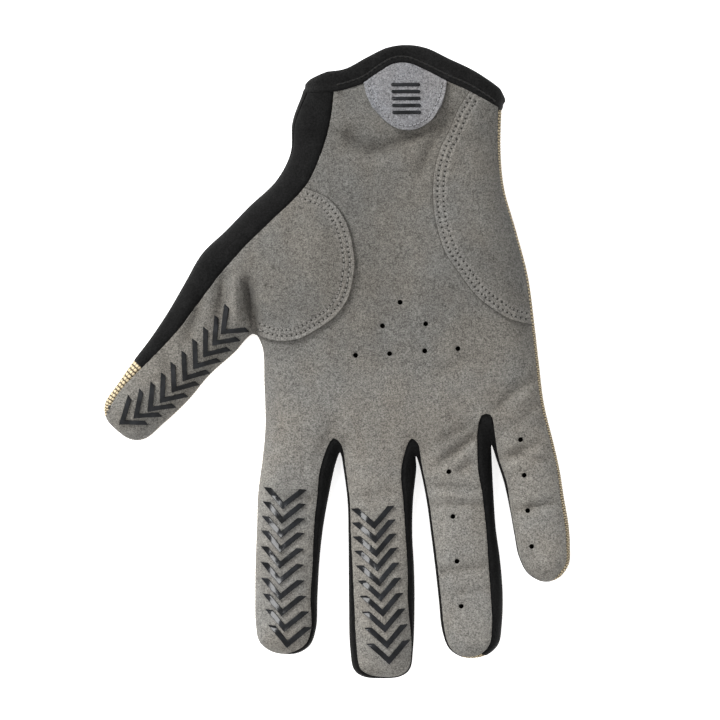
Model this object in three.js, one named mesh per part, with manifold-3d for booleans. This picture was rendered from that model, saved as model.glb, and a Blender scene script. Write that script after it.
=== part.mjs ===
// A full-finger cycling glove for the right hand, lying on its back with the palm up.
// Millimetres. +Z is up, +Y runs from the fingertips to the wrist, +X from the thumb to the little finger.
// The origin is on the floor, under the middle of the glove.
//
// The glove is sewn from flat panels, so each panel is a thin sheet bent over one common skin.
// Three outlines run round the hand side by side: the rim, which is the widest line of the glove,
// the palm seam above it and the back seam below it. Sheets fill the palm seam and the back seam,
// and side strips climb from one seam over the rim to the other. All of them share one row of
// stations along the outlines, so neighbouring edges match.
import * as THREE from "three";
import Module from "manifold-3d";
import { mergeVertices } from "three/addons/utils/BufferGeometryUtils.js";

const wasm = await Module();
wasm.setup();

// Walls
const SUEDE = 1.2;
const STRETCH = 1.0;
const KNIT = 1.6;
const TAB = 1.3;
const GRIP_THICKNESS = 0.7;
const BINDING_THICKNESS = 3.0;

// The skin
const RIM_HEIGHT = 6;
const FINGER_CROWN = 6.5;
const FINGER_ROUNDING = 9;
const PALM_ROUNDING = 13;
const UNDERSIDE_ROUNDING = 6;
const ROUNDING_POWER = 2.2;
const BACK_SEAM_INSET = 2.2;
const CUFF_PANEL_INSET = 11;

// The tips curl up off the floor: how high they rise, where that starts and over what length.
const FINGER_CURL = { rise: 5, start: -40, length: 74 };
const THUMB_CURL = { rise: 3, start: -45, length: 40 };

// Seams and fits
const SEAM_GAP = 0.5;
const END_GAP = 0.8;
const LAP_GAP = 0.5;
const TAB_GAP = 0.8;
const GRIP_GAP = 0.55;
const TRIM_GAP = 0.5;
const BINDING_PROUD = 0.9;
const VENT_RADIUS = 1.05;
const GRIP_STROKE = 1.8;
const GRIPS_PER_DIGIT = 10;

// One row for each section of a digit, at the distance "at" from its root, measured across its axis:
// the rim and the palm seam. The left side runs down to the tip and the right side back up. Tilt turns the
// axis from -Y towards +X, in degrees, and blunt squares off the tip.
const digits = {
  thumb: {
    root: [-27.2, 35.8],
    tilt: -41.7,
    tip: 80.2,
    palmTip: 79.2,
    blunt: 2.8,
    left: [
      { at: -12, rim: -17.0, palm: -7.1 },
      { at: 0, rim: -17.5, palm: -8.0, name: "thumbRoot" },
      { at: 12, rim: -18.4, palm: -8.2 },
      { at: 24, rim: -16.0, palm: -7.4 },
      { at: 36, rim: -13.5, palm: -6.2 },
      { at: 48, rim: -11.8, palm: -6.3 },
      { at: 57, rim: -11.1, palm: -7.4, name: "thumbBlackEnd" },
      { at: 67, rim: -9.9, palm: -7.9, name: "thumbTipLeft" },
    ],
    right: [
      { at: 67, rim: 12.2, palm: 11.4, name: "thumbTipRight" },
      { at: 55, rim: 13.2, palm: 12.4 },
      { at: 43, rim: 12.9, palm: 12.1 },
      { at: 31, rim: 14.2, palm: 13.4 },
    ],
  },
  index: {
    root: [-13.9, -28.3],
    tilt: -4,
    tip: 77.2,
    palmTip: 76.2,
    blunt: 2.3,
    left: [
      { at: 8, rim: -12.8, palm: -12.0, name: "indexLeft" },
      { at: 20, rim: -13.5, palm: -12.7 },
      { at: 32, rim: -13.1, palm: -12.3 },
      { at: 44, rim: -12.7, palm: -11.9 },
      { at: 56, rim: -12.0, palm: -11.2 },
      { at: 67, rim: -11.0, palm: -10.2, name: "indexTipLeft" },
    ],
    right: [
      { at: 67, rim: 10.9, palm: 9.2, name: "indexTipRight" },
      { at: 56, rim: 10.6, palm: 8.2 },
      { at: 44, rim: 10.4, palm: 8.1 },
      { at: 32, rim: 10.8, palm: 7.7 },
      { at: 20, rim: 12.0, palm: 8.0 },
      { at: 8, rim: 13.7, palm: 8.7, name: "indexRight" },
    ],
  },
  middle: {
    root: [14.9, -28.3],
    tilt: 0.5,
    tip: 85.6,
    palmTip: 84.2,
    blunt: 2.8,
    left: [
      { at: 10, rim: -12.9, palm: -12.1, name: "middleLeft" },
      { at: 22, rim: -11.5, palm: -10.7 },
      { at: 34, rim: -11.3, palm: -10.4 },
      { at: 46, rim: -11.3, palm: -9.9 },
      { at: 58, rim: -11.3, palm: -9.4 },
      { at: 75, rim: -11.0, palm: -8.6, name: "middleTipLeft" },
    ],
    right: [
      { at: 75, rim: 11.7, palm: 10.4, name: "middleTipRight" },
      { at: 58, rim: 12.4, palm: 9.9 },
      { at: 46, rim: 12.3, palm: 9.9 },
      { at: 34, rim: 11.8, palm: 9.3 },
      { at: 22, rim: 12.2, palm: 8.6 },
      { at: 10, rim: 13.5, palm: 8.0, name: "middleRight" },
    ],
  },
  ring: {
    root: [40.5, -28.3],
    tilt: 5.2,
    tip: 78.9,
    palmTip: 78.0,
    blunt: 2.2,
    left: [
      { at: 9, rim: -11.6, palm: -10.8, name: "ringLeft" },
      { at: 21, rim: -10.3, palm: -9.5 },
      { at: 33, rim: -9.8, palm: -9.0 },
      { at: 45, rim: -9.4, palm: -8.6 },
      { at: 57, rim: -9.2, palm: -8.4 },
      { at: 68, rim: -9.0, palm: -8.2, name: "ringTipLeft" },
    ],
    right: [
      { at: 68, rim: 12.6, palm: 8.8, name: "ringTipRight" },
      { at: 57, rim: 14.0, palm: 9.4 },
      { at: 45, rim: 14.2, palm: 9.7 },
      { at: 33, rim: 13.7, palm: 10.0 },
      { at: 21, rim: 14.0, palm: 9.8 },
      { at: 9, rim: 14.5, palm: 9.1, name: "ringRight" },
    ],
  },
  pinky: {
    root: [66.1, -23.9],
    tilt: 11.8,
    tip: 56.5,
    palmTip: 55.6,
    blunt: 2,
    left: [
      { at: 9, rim: -10.9, palm: -10.1, name: "pinkyLeft" },
      { at: 18, rim: -9.9, palm: -9.1 },
      { at: 28, rim: -9.8, palm: -9.0 },
      { at: 38, rim: -10.1, palm: -9.3 },
      { at: 45, rim: -10.2, palm: -9.4, name: "pinkyTipLeft" },
    ],
    right: [
      { at: 45, rim: 8.9, palm: 7.8, name: "pinkyTipRight" },
      { at: 38, rim: 9.9, palm: 8.8 },
      { at: 28, rim: 10.3, palm: 9.3 },
      { at: 18, rim: 10.8, palm: 10.0 },
      { at: 9, rim: 10.7, palm: 9.9, name: "pinkyRight" },
    ],
  },
};

// The outlines between the digits: the thumb side of the cuff from the wrist down, the web of the thumb,
// the three crotches between the fingers, and the outer side of the palm, going up. Inset is how far the
// back seam lies in from the rim.
const cuffSide = [
  { rim: [-12.6, 97.2], palm: [-1.2, 97.6], inset: CUFF_PANEL_INSET, name: "wristLeft" },
  { rim: [-16.4, 86.3], palm: [-2.6, 86.3], inset: CUFF_PANEL_INSET },
  { rim: [-17.0, 75.5], palm: [-5.6, 75.4], inset: CUFF_PANEL_INSET },
  { rim: [-22.0, 65.6], palm: [-11.7, 62.5], inset: 7, name: "thenarTop" },
];
const thumbWeb = [
  { rim: [-30.4, 10.0], palm: [-29.9, 11.0], name: "thumbCrotch" },
  { rim: [-27.4, 5.8], palm: [-26.6, 6.2] },
  { rim: [-26.5, -9.0], palm: [-25.7, -9.0] },
  { rim: [-26.2, -24.0], palm: [-25.4, -24.0] },
];
const fingerCrotches = {
  index: [
    { rim: [0.8, -32.9], palm: [-1.5, -27.6] },
    { rim: [1.0, -33.1], palm: [1.2, -29.6] },
    { rim: [1.4, -34.2], palm: [2.2, -33.2] },
  ],
  middle: [
    { rim: [28.3, -34.3], palm: [26.5, -27.7] },
    { rim: [28.5, -34.4], palm: [28.9, -29.5] },
    { rim: [28.9, -35.4], palm: [29.7, -33.2] },
  ],
  ring: [
    { rim: [55.6, -30.2], palm: [53.5, -18.5] },
    { rim: [55.7, -30.3], palm: [55.9, -22.0] },
    { rim: [56.1, -31.2], palm: [57.0, -28.0] },
  ],
};
const outerSide = [
  { rim: [74.7, -15.3], palm: [73.8, -15.3] },
  { rim: [72.9, -0.9], palm: [72.0, -0.9] },
  { rim: [71.3, 13.0], palm: [70.4, 13.0], name: "heelEnd" },
  { rim: [68.9, 30.8], palm: [68.0, 30.8] },
  { rim: [64.6, 47.3], palm: [63.7, 47.3] },
  { rim: [60.3, 62.5], palm: [59.4, 62.5] },
  { rim: [59.0, 76.1], palm: [58.1, 76.1] },
  { rim: [59.3, 91.2], palm: [58.3, 91.3], name: "wristRight" },
];

// The cuff, from the thumb side to the outer side: where the sheets end, and the edge of the binding.
const palmCuff = {
  edge: [
    [3.6, 98.7],
    [9.8, 101],
    [15.5, 105],
    [20.2, 107.6],
    [25.3, 107.8],
    [31.5, 105.3],
    [39.6, 101.3],
    [47, 98],
  ],
  outer: [
    [-2.7, 103.9],
    [3.4, 105.7],
    [10.4, 108.6],
    [20.7, 113.3],
    [26.1, 113.9],
    [32.6, 112.2],
    [41.0, 108.5],
    [49.0, 104.9],
    [58.6, 98.6],
  ],
};
const backCuff = {
  edge: [[9, 100.4], [22, 102], [36, 100.6], [48, 97]],
  outer: [[-3, 103.0], [8.5, 105.8], [22, 107.5], [36.5, 106], [49, 102.2], [58.4, 97.8]],
};
const cuffCorner = { left: [-12.6, 101.0], right: [60.6, 96.2] };

// Soft mounds that raise or lower the palm: a centre, a spread each way, and a rise.
const mounds = [
  { x: 22, y: 28, spreadX: 46, spreadY: 46, rise: 3.8 },
  { x: -10, y: 30, spreadX: 20, spreadY: 24, rise: 3.2 },
  { x: 52, y: 48, spreadX: 17, spreadY: 34, rise: 2.4 },
  { x: 24, y: -16, spreadX: 44, spreadY: 12, rise: 1.6 },
  { x: 20, y: 38, spreadX: 15, spreadY: 22, rise: -2.2 },
];

// Folds that press the palm side in, each along a line from one point to another.
const folds = [
  { from: [2.7, 80.5], to: [11.6, 76.5], width: 5, depth: 1.9 },
  { from: [11.6, 76.5], to: [28, 82], width: 5, depth: 1.9 },
  { from: [41, 90], to: [34.5, 75], width: 4, depth: 1.2 },
  { from: [-32.4, 32], to: [-30, 13], width: 3.2, depth: 3.6 },
  { from: [-49, 24], to: [-54, 7], width: 3.2, depth: 1.2 },
  { from: [-63, 4], to: [-60, -4], width: 3, depth: 0.8 },
  { from: [33, -50], to: [50, -48], width: 2.6, depth: 1.0 },
  { from: [34, -76], to: [54, -73], width: 2.6, depth: 0.9 },
  { from: [38, -33], to: [50, -28], width: 3.2, depth: 1.2 },
  { from: [59, -36], to: [72, -29], width: 2.6, depth: 0.9 },
  { from: [63, -54], to: [79, -50], width: 2.6, depth: 0.8 },
];

// Edges of the pieces that are sewn on the palm, in plan.
const thenarArc = {
  upper: [[-2.7, 58.1], [3.4, 49.5], [6.1, 38.3]],
  corner: [6.4, 33.7],
  lower: [[4.1, 22.9], [-0.5, 16.2], [-7.2, 11.3], [-13.9, 7.9], [-21.2, 7.3]],
};
const heelArc = {
  top: [47.2, 97.0],
  upper: [[43.3, 90.8], [39.6, 82.2], [36.5, 76.1], [34.3, 66.9], [34.0, 57.5]],
  corner: [34.9, 49.5],
  lower: [[38.3, 39.0], [43.3, 31.5], [49.5, 23.4], [55.7, 18.5], [61.9, 14.8]],
};
const tabEdge = {
  top: [[9.4, 100.0], [15.2, 104.0], [20.2, 106.8], [25.3, 107.0], [31.0, 104.8], [39.2, 100.6]],
  right: [[39.2, 100.6], [38.6, 96.2], [37.2, 92.0]],
  bottom: [[12.6, 91.7], [15.8, 87.6], [20.2, 84.1], [24.6, 82.9], [29.4, 83.7], [33.8, 86.6], [37.2, 92.0]],
  left: [[9.4, 100.0], [10.5, 95.6], [12.6, 91.7]],
};

// Printed grips: their two arms, and the line that their points follow with how far each is turned.
const grips = {
  index: {
    left: [-5.4, 6.6],
    right: [7.3, 5.9],
    line: [
      { x: -19.6, y: -51.8, turn: 0 },
      { x: -20.5, y: -67.4, turn: 0 },
      { x: -20.5, y: -84.3, turn: 0 },
      { x: -18.0, y: -101.1, turn: 0 },
    ],
  },
  middle: {
    left: [-6.8, 6.1],
    right: [6.0, 7.1],
    line: [
      { x: 13.2, y: -58.9, turn: 0 },
      { x: 14.3, y: -74.0, turn: 0 },
      { x: 16.2, y: -90.1, turn: 0 },
      { x: 18.5, y: -107.0, turn: 0 },
    ],
  },
  thumb: {
    left: [0.9, 9.2],
    right: [8.4, 1.5],
    line: [
      { x: -77.2, y: -21.7, turn: -12 },
      { x: -66.1, y: -16.3, turn: 0 },
      { x: -56.8, y: -8.0, turn: 7 },
      { x: -48.4, y: 1.5, turn: 5 },
      { x: -41.0, y: 10.7, turn: -4 },
    ],
  },
};

// Control points of the outlines, from the wrist's thumb side round the fingertips to its other side
const controls = [];
const mark = {};

function addControl({ rim, palm, name, inset = BACK_SEAM_INSET }) {
  if (name) mark[name] = controls.length;
  controls.push({ rim, palm, inset });
}

function onDigit(name, at, offset) {
  const { root, tilt } = digits[name];
  const [s, c] = [Math.sin(THREE.MathUtils.degToRad(tilt)), Math.cos(THREE.MathUtils.degToRad(tilt))];
  return [root[0] + s * at + c * offset, root[1] - c * at + s * offset];
}

// The end of a digit is half a superellipse between the last row on its left and the first on its right.
function addTip(name) {
  const { left, right, tip, palmTip, blunt } = digits[name];
  const [outer, inner] = [left[left.length - 1], right[0]];
  for (const degrees of [35, 65, 90, 115, 145]) {
    const angle = THREE.MathUtils.degToRad(degrees);
    const side = -Math.sign(Math.cos(angle)) * Math.abs(Math.cos(angle)) ** (2 / blunt);
    const reach = Math.sin(angle) ** (2 / blunt);
    const place = (line, end) => {
      const offset = (outer[line] * (1 - side) + inner[line] * (1 + side)) / 2;
      return onDigit(name, outer.at + (end - outer.at) * reach, offset);
    };
    const middle = degrees === 90 && name + "Tip";
    addControl({ rim: place("rim", tip), palm: place("palm", palmTip), name: middle });
  }
}

function addDigit(digit) {
  const addRow = ({ at, rim, palm, name }) =>
    addControl({ rim: onDigit(digit, at, rim), palm: onDigit(digit, at, palm), name });
  digits[digit].left.forEach(addRow);
  addTip(digit);
  digits[digit].right.forEach(addRow);
}

const fingers = ["index", "middle", "ring", "pinky"];
cuffSide.forEach(addControl);
addDigit("thumb");
thumbWeb.forEach(addControl);
for (const finger of fingers) {
  addDigit(finger);
  fingerCrotches[finger]?.forEach(addControl);
}
outerSide.forEach(addControl);

// Stations: matching places on the three outlines, at a control number that may lie between two controls
const flat = ([x, y]) => new THREE.Vector3(x, y, 0);
const curveThrough = (points) => new THREE.CatmullRomCurve3(points.map((p) => (p.isVector3 ? p : flat(p))));
const rimCurve = curveThrough(controls.map((c) => c.rim));
const palmCurve = curveThrough(controls.map((c) => c.palm));

function station(number) {
  const t = number / (controls.length - 1);
  const rim = rimCurve.getPoint(t);
  const palm = palmCurve.getPoint(t);
  const inward = palm.clone().sub(rim).normalize();
  const before = Math.min(Math.floor(number), controls.length - 2);
  const inset = THREE.MathUtils.lerp(controls[before].inset, controls[before + 1].inset, number - before);
  return { number, rim, palm, inward, back: rim.clone().addScaledVector(inward, inset) };
}

// How many stations lead from each mark to the next. A digit has as many on its right as on its left.
const ALONG_FINGER = 7;
const ALONG_THUMB = 11;
const HALF_TIP = 3;
const ACROSS = 2 * HALF_TIP;
const CROTCH_STEPS = 4;
const CUFF_ROWS = 2;
const THENAR_ROWS = 2;
const WEB_ROWS = 3;
const HEEL_ROWS = 8;
const PALM_ROWS = CUFF_ROWS + THENAR_ROWS + ACROSS + WEB_ROWS;

const steps = {
  wristLeft: CUFF_ROWS,
  thenarTop: THENAR_ROWS,
  thumbRoot: ALONG_THUMB - 2,
  thumbBlackEnd: 2,
  thumbTipLeft: HALF_TIP,
  thumbTip: HALF_TIP,
  thumbTipRight: ALONG_THUMB,
  thumbCrotch: WEB_ROWS,
};
for (const finger of fingers) {
  steps[finger + "Left"] = ALONG_FINGER;
  steps[finger + "TipLeft"] = HALF_TIP;
  steps[finger + "Tip"] = HALF_TIP;
  steps[finger + "TipRight"] = ALONG_FINGER;
  steps[finger + "Right"] = CROTCH_STEPS;
}
steps.pinkyRight = PALM_ROWS - HEEL_ROWS;
steps.heelEnd = HEEL_ROWS;
steps.wristRight = 1;

const stations = [];
const placeOf = {};
Object.keys(mark).forEach((name, i, names) => {
  placeOf[name] = stations.length;
  const span = i + 1 < names.length ? mark[names[i + 1]] - mark[name] : 0;
  for (let k = 0; k < steps[name]; k++) stations.push(station(mark[name] + (span * k) / steps[name]));
});

// Height of the skin over a place in plan
const RIM_SAMPLES = 420;
const FOLD_END = 0.15;
const KNUCKLES = [-45, 0];
const BEYOND_WRIST = new THREE.Vector3(0, 60, 0);
const rimLine = rimCurve.getPoints(RIM_SAMPLES);
rimLine.unshift(rimLine[0].clone().add(BEYOND_WRIST));
rimLine.push(rimLine[rimLine.length - 1].clone().add(BEYOND_WRIST));

function nearestOnSegment(x, y, a, b) {
  const [dx, dy] = [b.x - a.x, b.y - a.y];
  const t = THREE.MathUtils.clamp(((x - a.x) * dx + (y - a.y) * dy) / (dx * dx + dy * dy || 1), 0, 1);
  const [outX, outY] = [a.x + dx * t - x, a.y + dy * t - y];
  return { distance: Math.hypot(outX, outY), outX, outY, t };
}

function nearestRim(x, y) {
  let nearest = { distance: Infinity };
  for (let i = 1; i < rimLine.length; i++) {
    const found = nearestOnSegment(x, y, rimLine[i - 1], rimLine[i]);
    if (found.distance < nearest.distance) nearest = found;
  }
  return nearest;
}

// 0 at the rim and 1 at the distance "radius" from it, round in between.
const rounded = (distance, radius) =>
  (1 - (1 - Math.min(distance / radius, 1)) ** ROUNDING_POWER) ** (1 / ROUNDING_POWER);

const curlAlong = ({ rise, start, length }, v) =>
  rise * THREE.MathUtils.clamp((start - v) / length, 0, 1) ** 2;
const curl = (x, y) => curlAlong(FINGER_CURL, y) + curlAlong(THUMB_CURL, x);

function crown(x, y) {
  let height = FINGER_CROWN;
  for (const m of mounds)
    height += m.rise * Math.exp(-(((x - m.x) / m.spreadX) ** 2) - ((y - m.y) / m.spreadY) ** 2);
  for (const f of folds) {
    const { distance, t } = nearestOnSegment(x, y, flat(f.from), flat(f.to));
    const fade = Math.sin(Math.PI * THREE.MathUtils.lerp(FOLD_END, 1 - FOLD_END, t));
    height -= f.depth * Math.exp(-((distance / f.width) ** 2)) * fade;
  }
  return height;
}

const palmRounding = (y) =>
  THREE.MathUtils.lerp(FINGER_ROUNDING, PALM_ROUNDING, THREE.MathUtils.smoothstep(y, ...KNUCKLES));

// A point of the skin, and the way out of the glove there. Hint is the way out on the rim itself.
const PALM = 1;
const BACK = -1;
const ON_RIM = 0.05;
const UP = new THREE.Vector3(0, 0, 1);

function skinPoint(x, y, side, hint) {
  const near = nearestRim(x, y);
  const onRim = hint !== undefined && near.distance < ON_RIM;
  const distance = onRim ? 0 : near.distance;
  const radius = side === PALM ? palmRounding(y) : UNDERSIDE_ROUNDING;
  const height = side === PALM ? crown(x, y) : RIM_HEIGHT;
  const rise = rounded(distance, radius);
  const sideways = (1 - Math.min(distance / radius, 1)) ** (ROUNDING_POWER - 1) / radius;
  const upright = rise ** (ROUNDING_POWER - 1) / height;
  const [outX, outY] = onRim ? [hint.x, hint.y] : [near.outX / near.distance, near.outY / near.distance];
  return {
    at: new THREE.Vector3(x, y, RIM_HEIGHT + curl(x, y) + side * rise * height),
    out: new THREE.Vector3(outX * sideways, outY * sideways, side * upright).normalize(),
  };
}

const lifted = ({ at, out }, height) => ({ at: at.clone().addScaledVector(out, height), out });
const laid = (grid, side, height = () => 0) =>
  grid.map((row) => row.map(({ x, y }) => lifted(skinPoint(x, y, side), height(x, y))));

// Plan grids: rows of points filled between four edges (a Coons patch)
const even = (count) => Array.from({ length: count + 1 }, (_, i) => i / count);
// Columns across a finger lie closer together towards its sides, where the skin bends down.
const CROWDING = 0.1 * Math.PI;
const crowded = (count) =>
  even(count).map((f) => {
    const angle = THREE.MathUtils.lerp(CROWDING, Math.PI - CROWDING, f);
    return 0.5 - Math.cos(angle) / Math.cos(CROWDING) / 2;
  });
const straight = (a, b, fractions) => fractions.map((f) => a.clone().lerp(b, f));
const curved = (points, fractions) => fractions.map((f) => curveThrough(points).getPointAt(f));

function fill(top, bottom, left, right, columns = even(top.length - 1), rows = even(left.length - 1)) {
  const [a, b, c, d] = [top[0], top[top.length - 1], bottom[0], bottom[bottom.length - 1]];
  return rows.map((v, i) =>
    columns.map((u, j) => {
      const point = new THREE.Vector3();
      point.addScaledVector(top[j], 1 - v).addScaledVector(bottom[j], v);
      point.addScaledVector(left[i], 1 - u).addScaledVector(right[i], u);
      point.addScaledVector(a, -(1 - u) * (1 - v)).addScaledVector(b, -u * (1 - v));
      return point.addScaledVector(c, -(1 - u) * v).addScaledVector(d, -u * v);
    }),
  );
}

// The six blocks of a hand-shaped sheet share their edges: four fingers, the thumb and the palm.
const FINGER_PITCH = 1.16;

function handBlocks(seam, cuffEdge) {
  const edge = (from, to) => stations.slice(placeOf[from], placeOf[to] + 1).map((s) => s[seam]);
  const blocks = {};
  const knuckles = [];
  const columns = [];
  fingers.forEach((finger, n) => {
    const left = edge(finger + "Left", finger + "TipLeft");
    const right = edge(finger + "TipRight", finger + "Right").reverse();
    const tip = edge(finger + "TipLeft", finger + "TipRight");
    const root = straight(left[0], right[0], crowded(ACROSS));
    blocks[finger] = fill(root, tip, left, right, crowded(ACROSS));
    knuckles.push(...root);
    columns.push(...crowded(ACROSS).map((f) => n * FINGER_PITCH + f));
    if (n === fingers.length - 1) return;
    const crotch = even(CROTCH_STEPS).map((f) => THREE.MathUtils.lerp(1, FINGER_PITCH, f));
    knuckles.push(...edge(finger + "Right", fingers[n + 1] + "Left").slice(1, -1));
    columns.push(...crotch.slice(1, -1).map((c) => n * FINGER_PITCH + c));
  });
  const thumbLeft = edge("thumbRoot", "thumbTipLeft");
  const thumbRight = edge("thumbTipRight", "thumbCrotch").reverse();
  const thumbTop = straight(thumbLeft[0], thumbRight[0], even(ACROSS));
  blocks.thumb = fill(thumbTop, edge("thumbTipLeft", "thumbTipRight"), thumbLeft, thumbRight);

  const thumbSide = [edge("wristLeft", "thumbRoot"), thumbTop.slice(1, -1), edge("thumbCrotch", "indexLeft")];
  const left = thumbSide.flat();
  const right = edge("pinkyRight", "wristRight").reverse();
  const cuffLine = curveThrough([left[0], ...cuffEdge, right[0]]);
  const shares = columns.map((c) => c / columns[columns.length - 1]);
  const wrist = shares.map((u) => cuffLine.getPointAt(u));
  blocks.palm = fill(wrist, knuckles, left, right, shares);
  return blocks;
}

// Side strips: along the girth from the palm seam (0) over the rim (1) to the back seam (2)
const GIRTH_STEPS = 12;
const LEAST_SQUARE = 0.25;
const NUDGE = 0.1;

function girthPoint({ rim, palm, back, inward }, u) {
  const plan = rim.clone().lerp(u <= 1 ? palm : back, 1 - Math.sin((Math.PI * u) / 2));
  return skinPoint(plan.x, plan.y, u <= 1 ? PALM : BACK, inward.clone().negate());
}

// Moves a position on the girth by some millimetres along it.
function shifted(place, u, millimetres) {
  const half = u < 1 || (u === 1 && millimetres < 0) ? 0 : 1;
  const points = even(GIRTH_STEPS).map((f) => girthPoint(place, half + f).at);
  const length = points.slice(1).reduce((sum, p, i) => sum + p.distanceTo(points[i]), 0);
  return u + millimetres / length;
}

// How squarely the way to the rim leaves the palm seam at a place: 1 is at right angles.
function squareness(places, i) {
  const { palm, inward } = places[i];
  const around = [places[i - 1], places[i + 1]].filter(Boolean);
  const turns = around.map((next) => next.palm.clone().sub(palm).normalize().cross(inward).length());
  return Math.max(Math.min(...turns), LEAST_SQUARE);
}

// A strip that crosses the rim has its middle column there. From and to are one position, or one for each
// station. Where the girth leaves the palm seam askew, the strip starts further down it to keep the gap.
function strip(places, from, to, [startGap, endGap]) {
  return places.map((place, i) => {
    const start = shifted(place, from[i] ?? from, startGap / squareness(places, i));
    const end = shifted(place, to[i] ?? to, -endGap);
    const middle = start < 1 && end > 1 ? 1 : (start + end) / 2;
    const positions = [start, (start + middle) / 2, middle, (middle + end) / 2, end];
    return positions.map((u) => girthPoint(place, u));
  });
}

// The place a small gap away from a station, along the rim.
function drawnIn({ number, rim }, direction) {
  const pace = station(number + NUDGE * direction).rim.distanceTo(rim) / NUDGE;
  return station(number + (END_GAP * direction) / pace);
}

// A stretch of stations. Where another piece begins, the end is drawn in to keep a gap.
function stretch(from, to, drawn = [false, false]) {
  const places = stations.slice(from, to + 1);
  if (drawn[0]) places[0] = drawnIn(places[0], 1);
  if (drawn[1]) places[places.length - 1] = drawnIn(places[places.length - 1], -1);
  return places;
}

// Solids: grids of skin points, welded and given a wall on their inner side
const WELD = 1e-3;

function thicken(grids, wall) {
  const index = new Map();
  const points = [];
  const corner = (point) => {
    const key = point.at.toArray().map((v) => Math.round(v / WELD)).join();
    if (!index.has(key)) index.set(key, points.push(point) - 1);
    return index.get(key);
  };
  const outer = [];
  for (const { grid, turned } of grids)
    for (let i = 1; i < grid.length; i++)
      for (let j = 1; j < grid[i].length; j++) {
        const quad = [grid[i - 1][j - 1], grid[i][j - 1], grid[i][j], grid[i - 1][j]];
        if (turned) quad.reverse();
        const [a, b, c, d] = quad.map(corner);
        const acrossB = quad[1].at.distanceTo(quad[3].at) < quad[0].at.distanceTo(quad[2].at);
        outer.push(...(acrossB ? [[a, b, d], [b, c, d]] : [[a, b, c], [a, c, d]]));
      }
  const inside = points.map(({ at, out }) => at.clone().addScaledVector(out, -wall));
  const n = points.length;
  const triangles = outer.flatMap(([a, b, c]) => [a, b, c, c + n, b + n, a + n]);
  const edges = new Set(outer.flatMap(([a, b, c]) => [a * n + b, b * n + c, c * n + a]));
  for (const key of edges) {
    const [a, b] = [Math.floor(key / n), key % n];
    if (!edges.has(b * n + a)) triangles.push(b, a, a + n, b, a + n, b + n);
  }
  const corners = [...points.map((p) => p.at), ...inside];
  return new THREE.BufferGeometry().setFromPoints(corners).setIndex(triangles);
}

// Loops of points joined one to the next, and either closed into a ring or capped at both ends.
function joinLoops(loops, closed) {
  const size = loops[0].length;
  const triangles = [];
  for (let i = closed ? 0 : 1; i < loops.length; i++)
    for (let j = 0; j < size; j++) {
      const [before, here] = [((i || loops.length) - 1) * size, i * size];
      const k = (j + 1) % size;
      triangles.push(before + j, here + j, here + k, before + j, here + k, before + k);
    }
  if (!closed) {
    const last = (loops.length - 1) * size;
    for (let j = 1; j < size - 1; j++) triangles.push(0, j, j + 1, last, last + j + 1, last + j);
  }
  return new THREE.BufferGeometry().setFromPoints(loops.flat()).setIndex(triangles);
}

// Cuts
function toManifold(geometry) {
  const bare = geometry.clone();
  for (const name of ["normal", "uv"]) bare.deleteAttribute(name);
  const merged = mergeVertices(bare, WELD);
  const vertProperties = merged.attributes.position.array;
  const triVerts = new Uint32Array(merged.index.array);
  return new wasm.Manifold(new wasm.Mesh({ numProp: 3, vertProperties, triVerts }));
}

function fromManifold(solid) {
  const { numProp, numVert, vertProperties, triVerts } = solid.getMesh();
  const points = [];
  for (let i = 0; i < numVert; i++) points.push(new THREE.Vector3().fromArray(vertProperties, i * numProp));
  return new THREE.BufferGeometry().setFromPoints(points).setIndex(Array.from(triVerts));
}

// Materials
const material = (color, roughness) => new THREE.MeshStandardMaterial({ color, roughness, metalness: 0 });
const suede = material(0x7c7973, 0.95);
const tabSuede = material(0x8a8a8f, 0.9);
const blackStretch = material(0x232323, 0.75);
const bindingCloth = material(0x1e1e1f, 0.8);
const tanKnit = material(0xb3a488, 0.9);
const silicone = material(0x202224, 0.3);

const glove = new THREE.Group();

function addPiece(name, geometry, look) {
  const mesh = new THREE.Mesh(geometry, look);
  mesh.name = name;
  glove.add(mesh);
}

// Palm panel: one sheet of suede for the palm and the fronts of the fingers, with vent holes
const VENTS_PER_FINGER = 4;
const PUNCH = { length: 8, sides: 6 };
// Rows of vents on two fingers: the first and the last, at a distance from the root and across the axis
const fingerVents = {
  ring: { first: [11.2, -1.5], last: [59.6, -1.5] },
  pinky: { first: [4, -1.2], last: [42.4, -5.1] },
};
const palmVents = [
  [22.5, 21.2],
  [16.2, 12.7],
  [31.6, 13.5],
  [6.5, 2.2],
  [18.7, 2.8],
  [31.3, 3.8],
  [43.2, 4.6],
];
const rowOfVents = ([finger, { first, last }]) =>
  straight(flat(first), flat(last), even(VENTS_PER_FINGER - 1)).map(({ x, y }) => onDigit(finger, x, y));
const vents = [...palmVents, ...Object.entries(fingerVents).flatMap(rowOfVents)];

const palmBlocks = handBlocks("palm", palmCuff.edge);
const palmGrids = ["palm", ...fingers].map((name) => ({ grid: laid(palmBlocks[name], PALM) }));
let palmSolid = toManifold(thicken(palmGrids, SUEDE));
for (const [x, y] of vents) {
  const punch = new THREE.CylinderGeometry(VENT_RADIUS, VENT_RADIUS, PUNCH.length, PUNCH.sides);
  punch.rotateX(Math.PI / 2).translate(x, y, skinPoint(x, y, PALM).at.z - SUEDE / 2);
  palmSolid = palmSolid.subtract(toManifold(punch));
}
addPiece("palm_panel", fromManifold(palmSolid), suede);

// Thumb panel: the front of the thumb and the pad at its root, which laps over the palm panel
const LAP = LAP_GAP + SUEDE;
const LAP_FADE = 6;
const thumbRootLine = palmBlocks.thumb[0];

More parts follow.
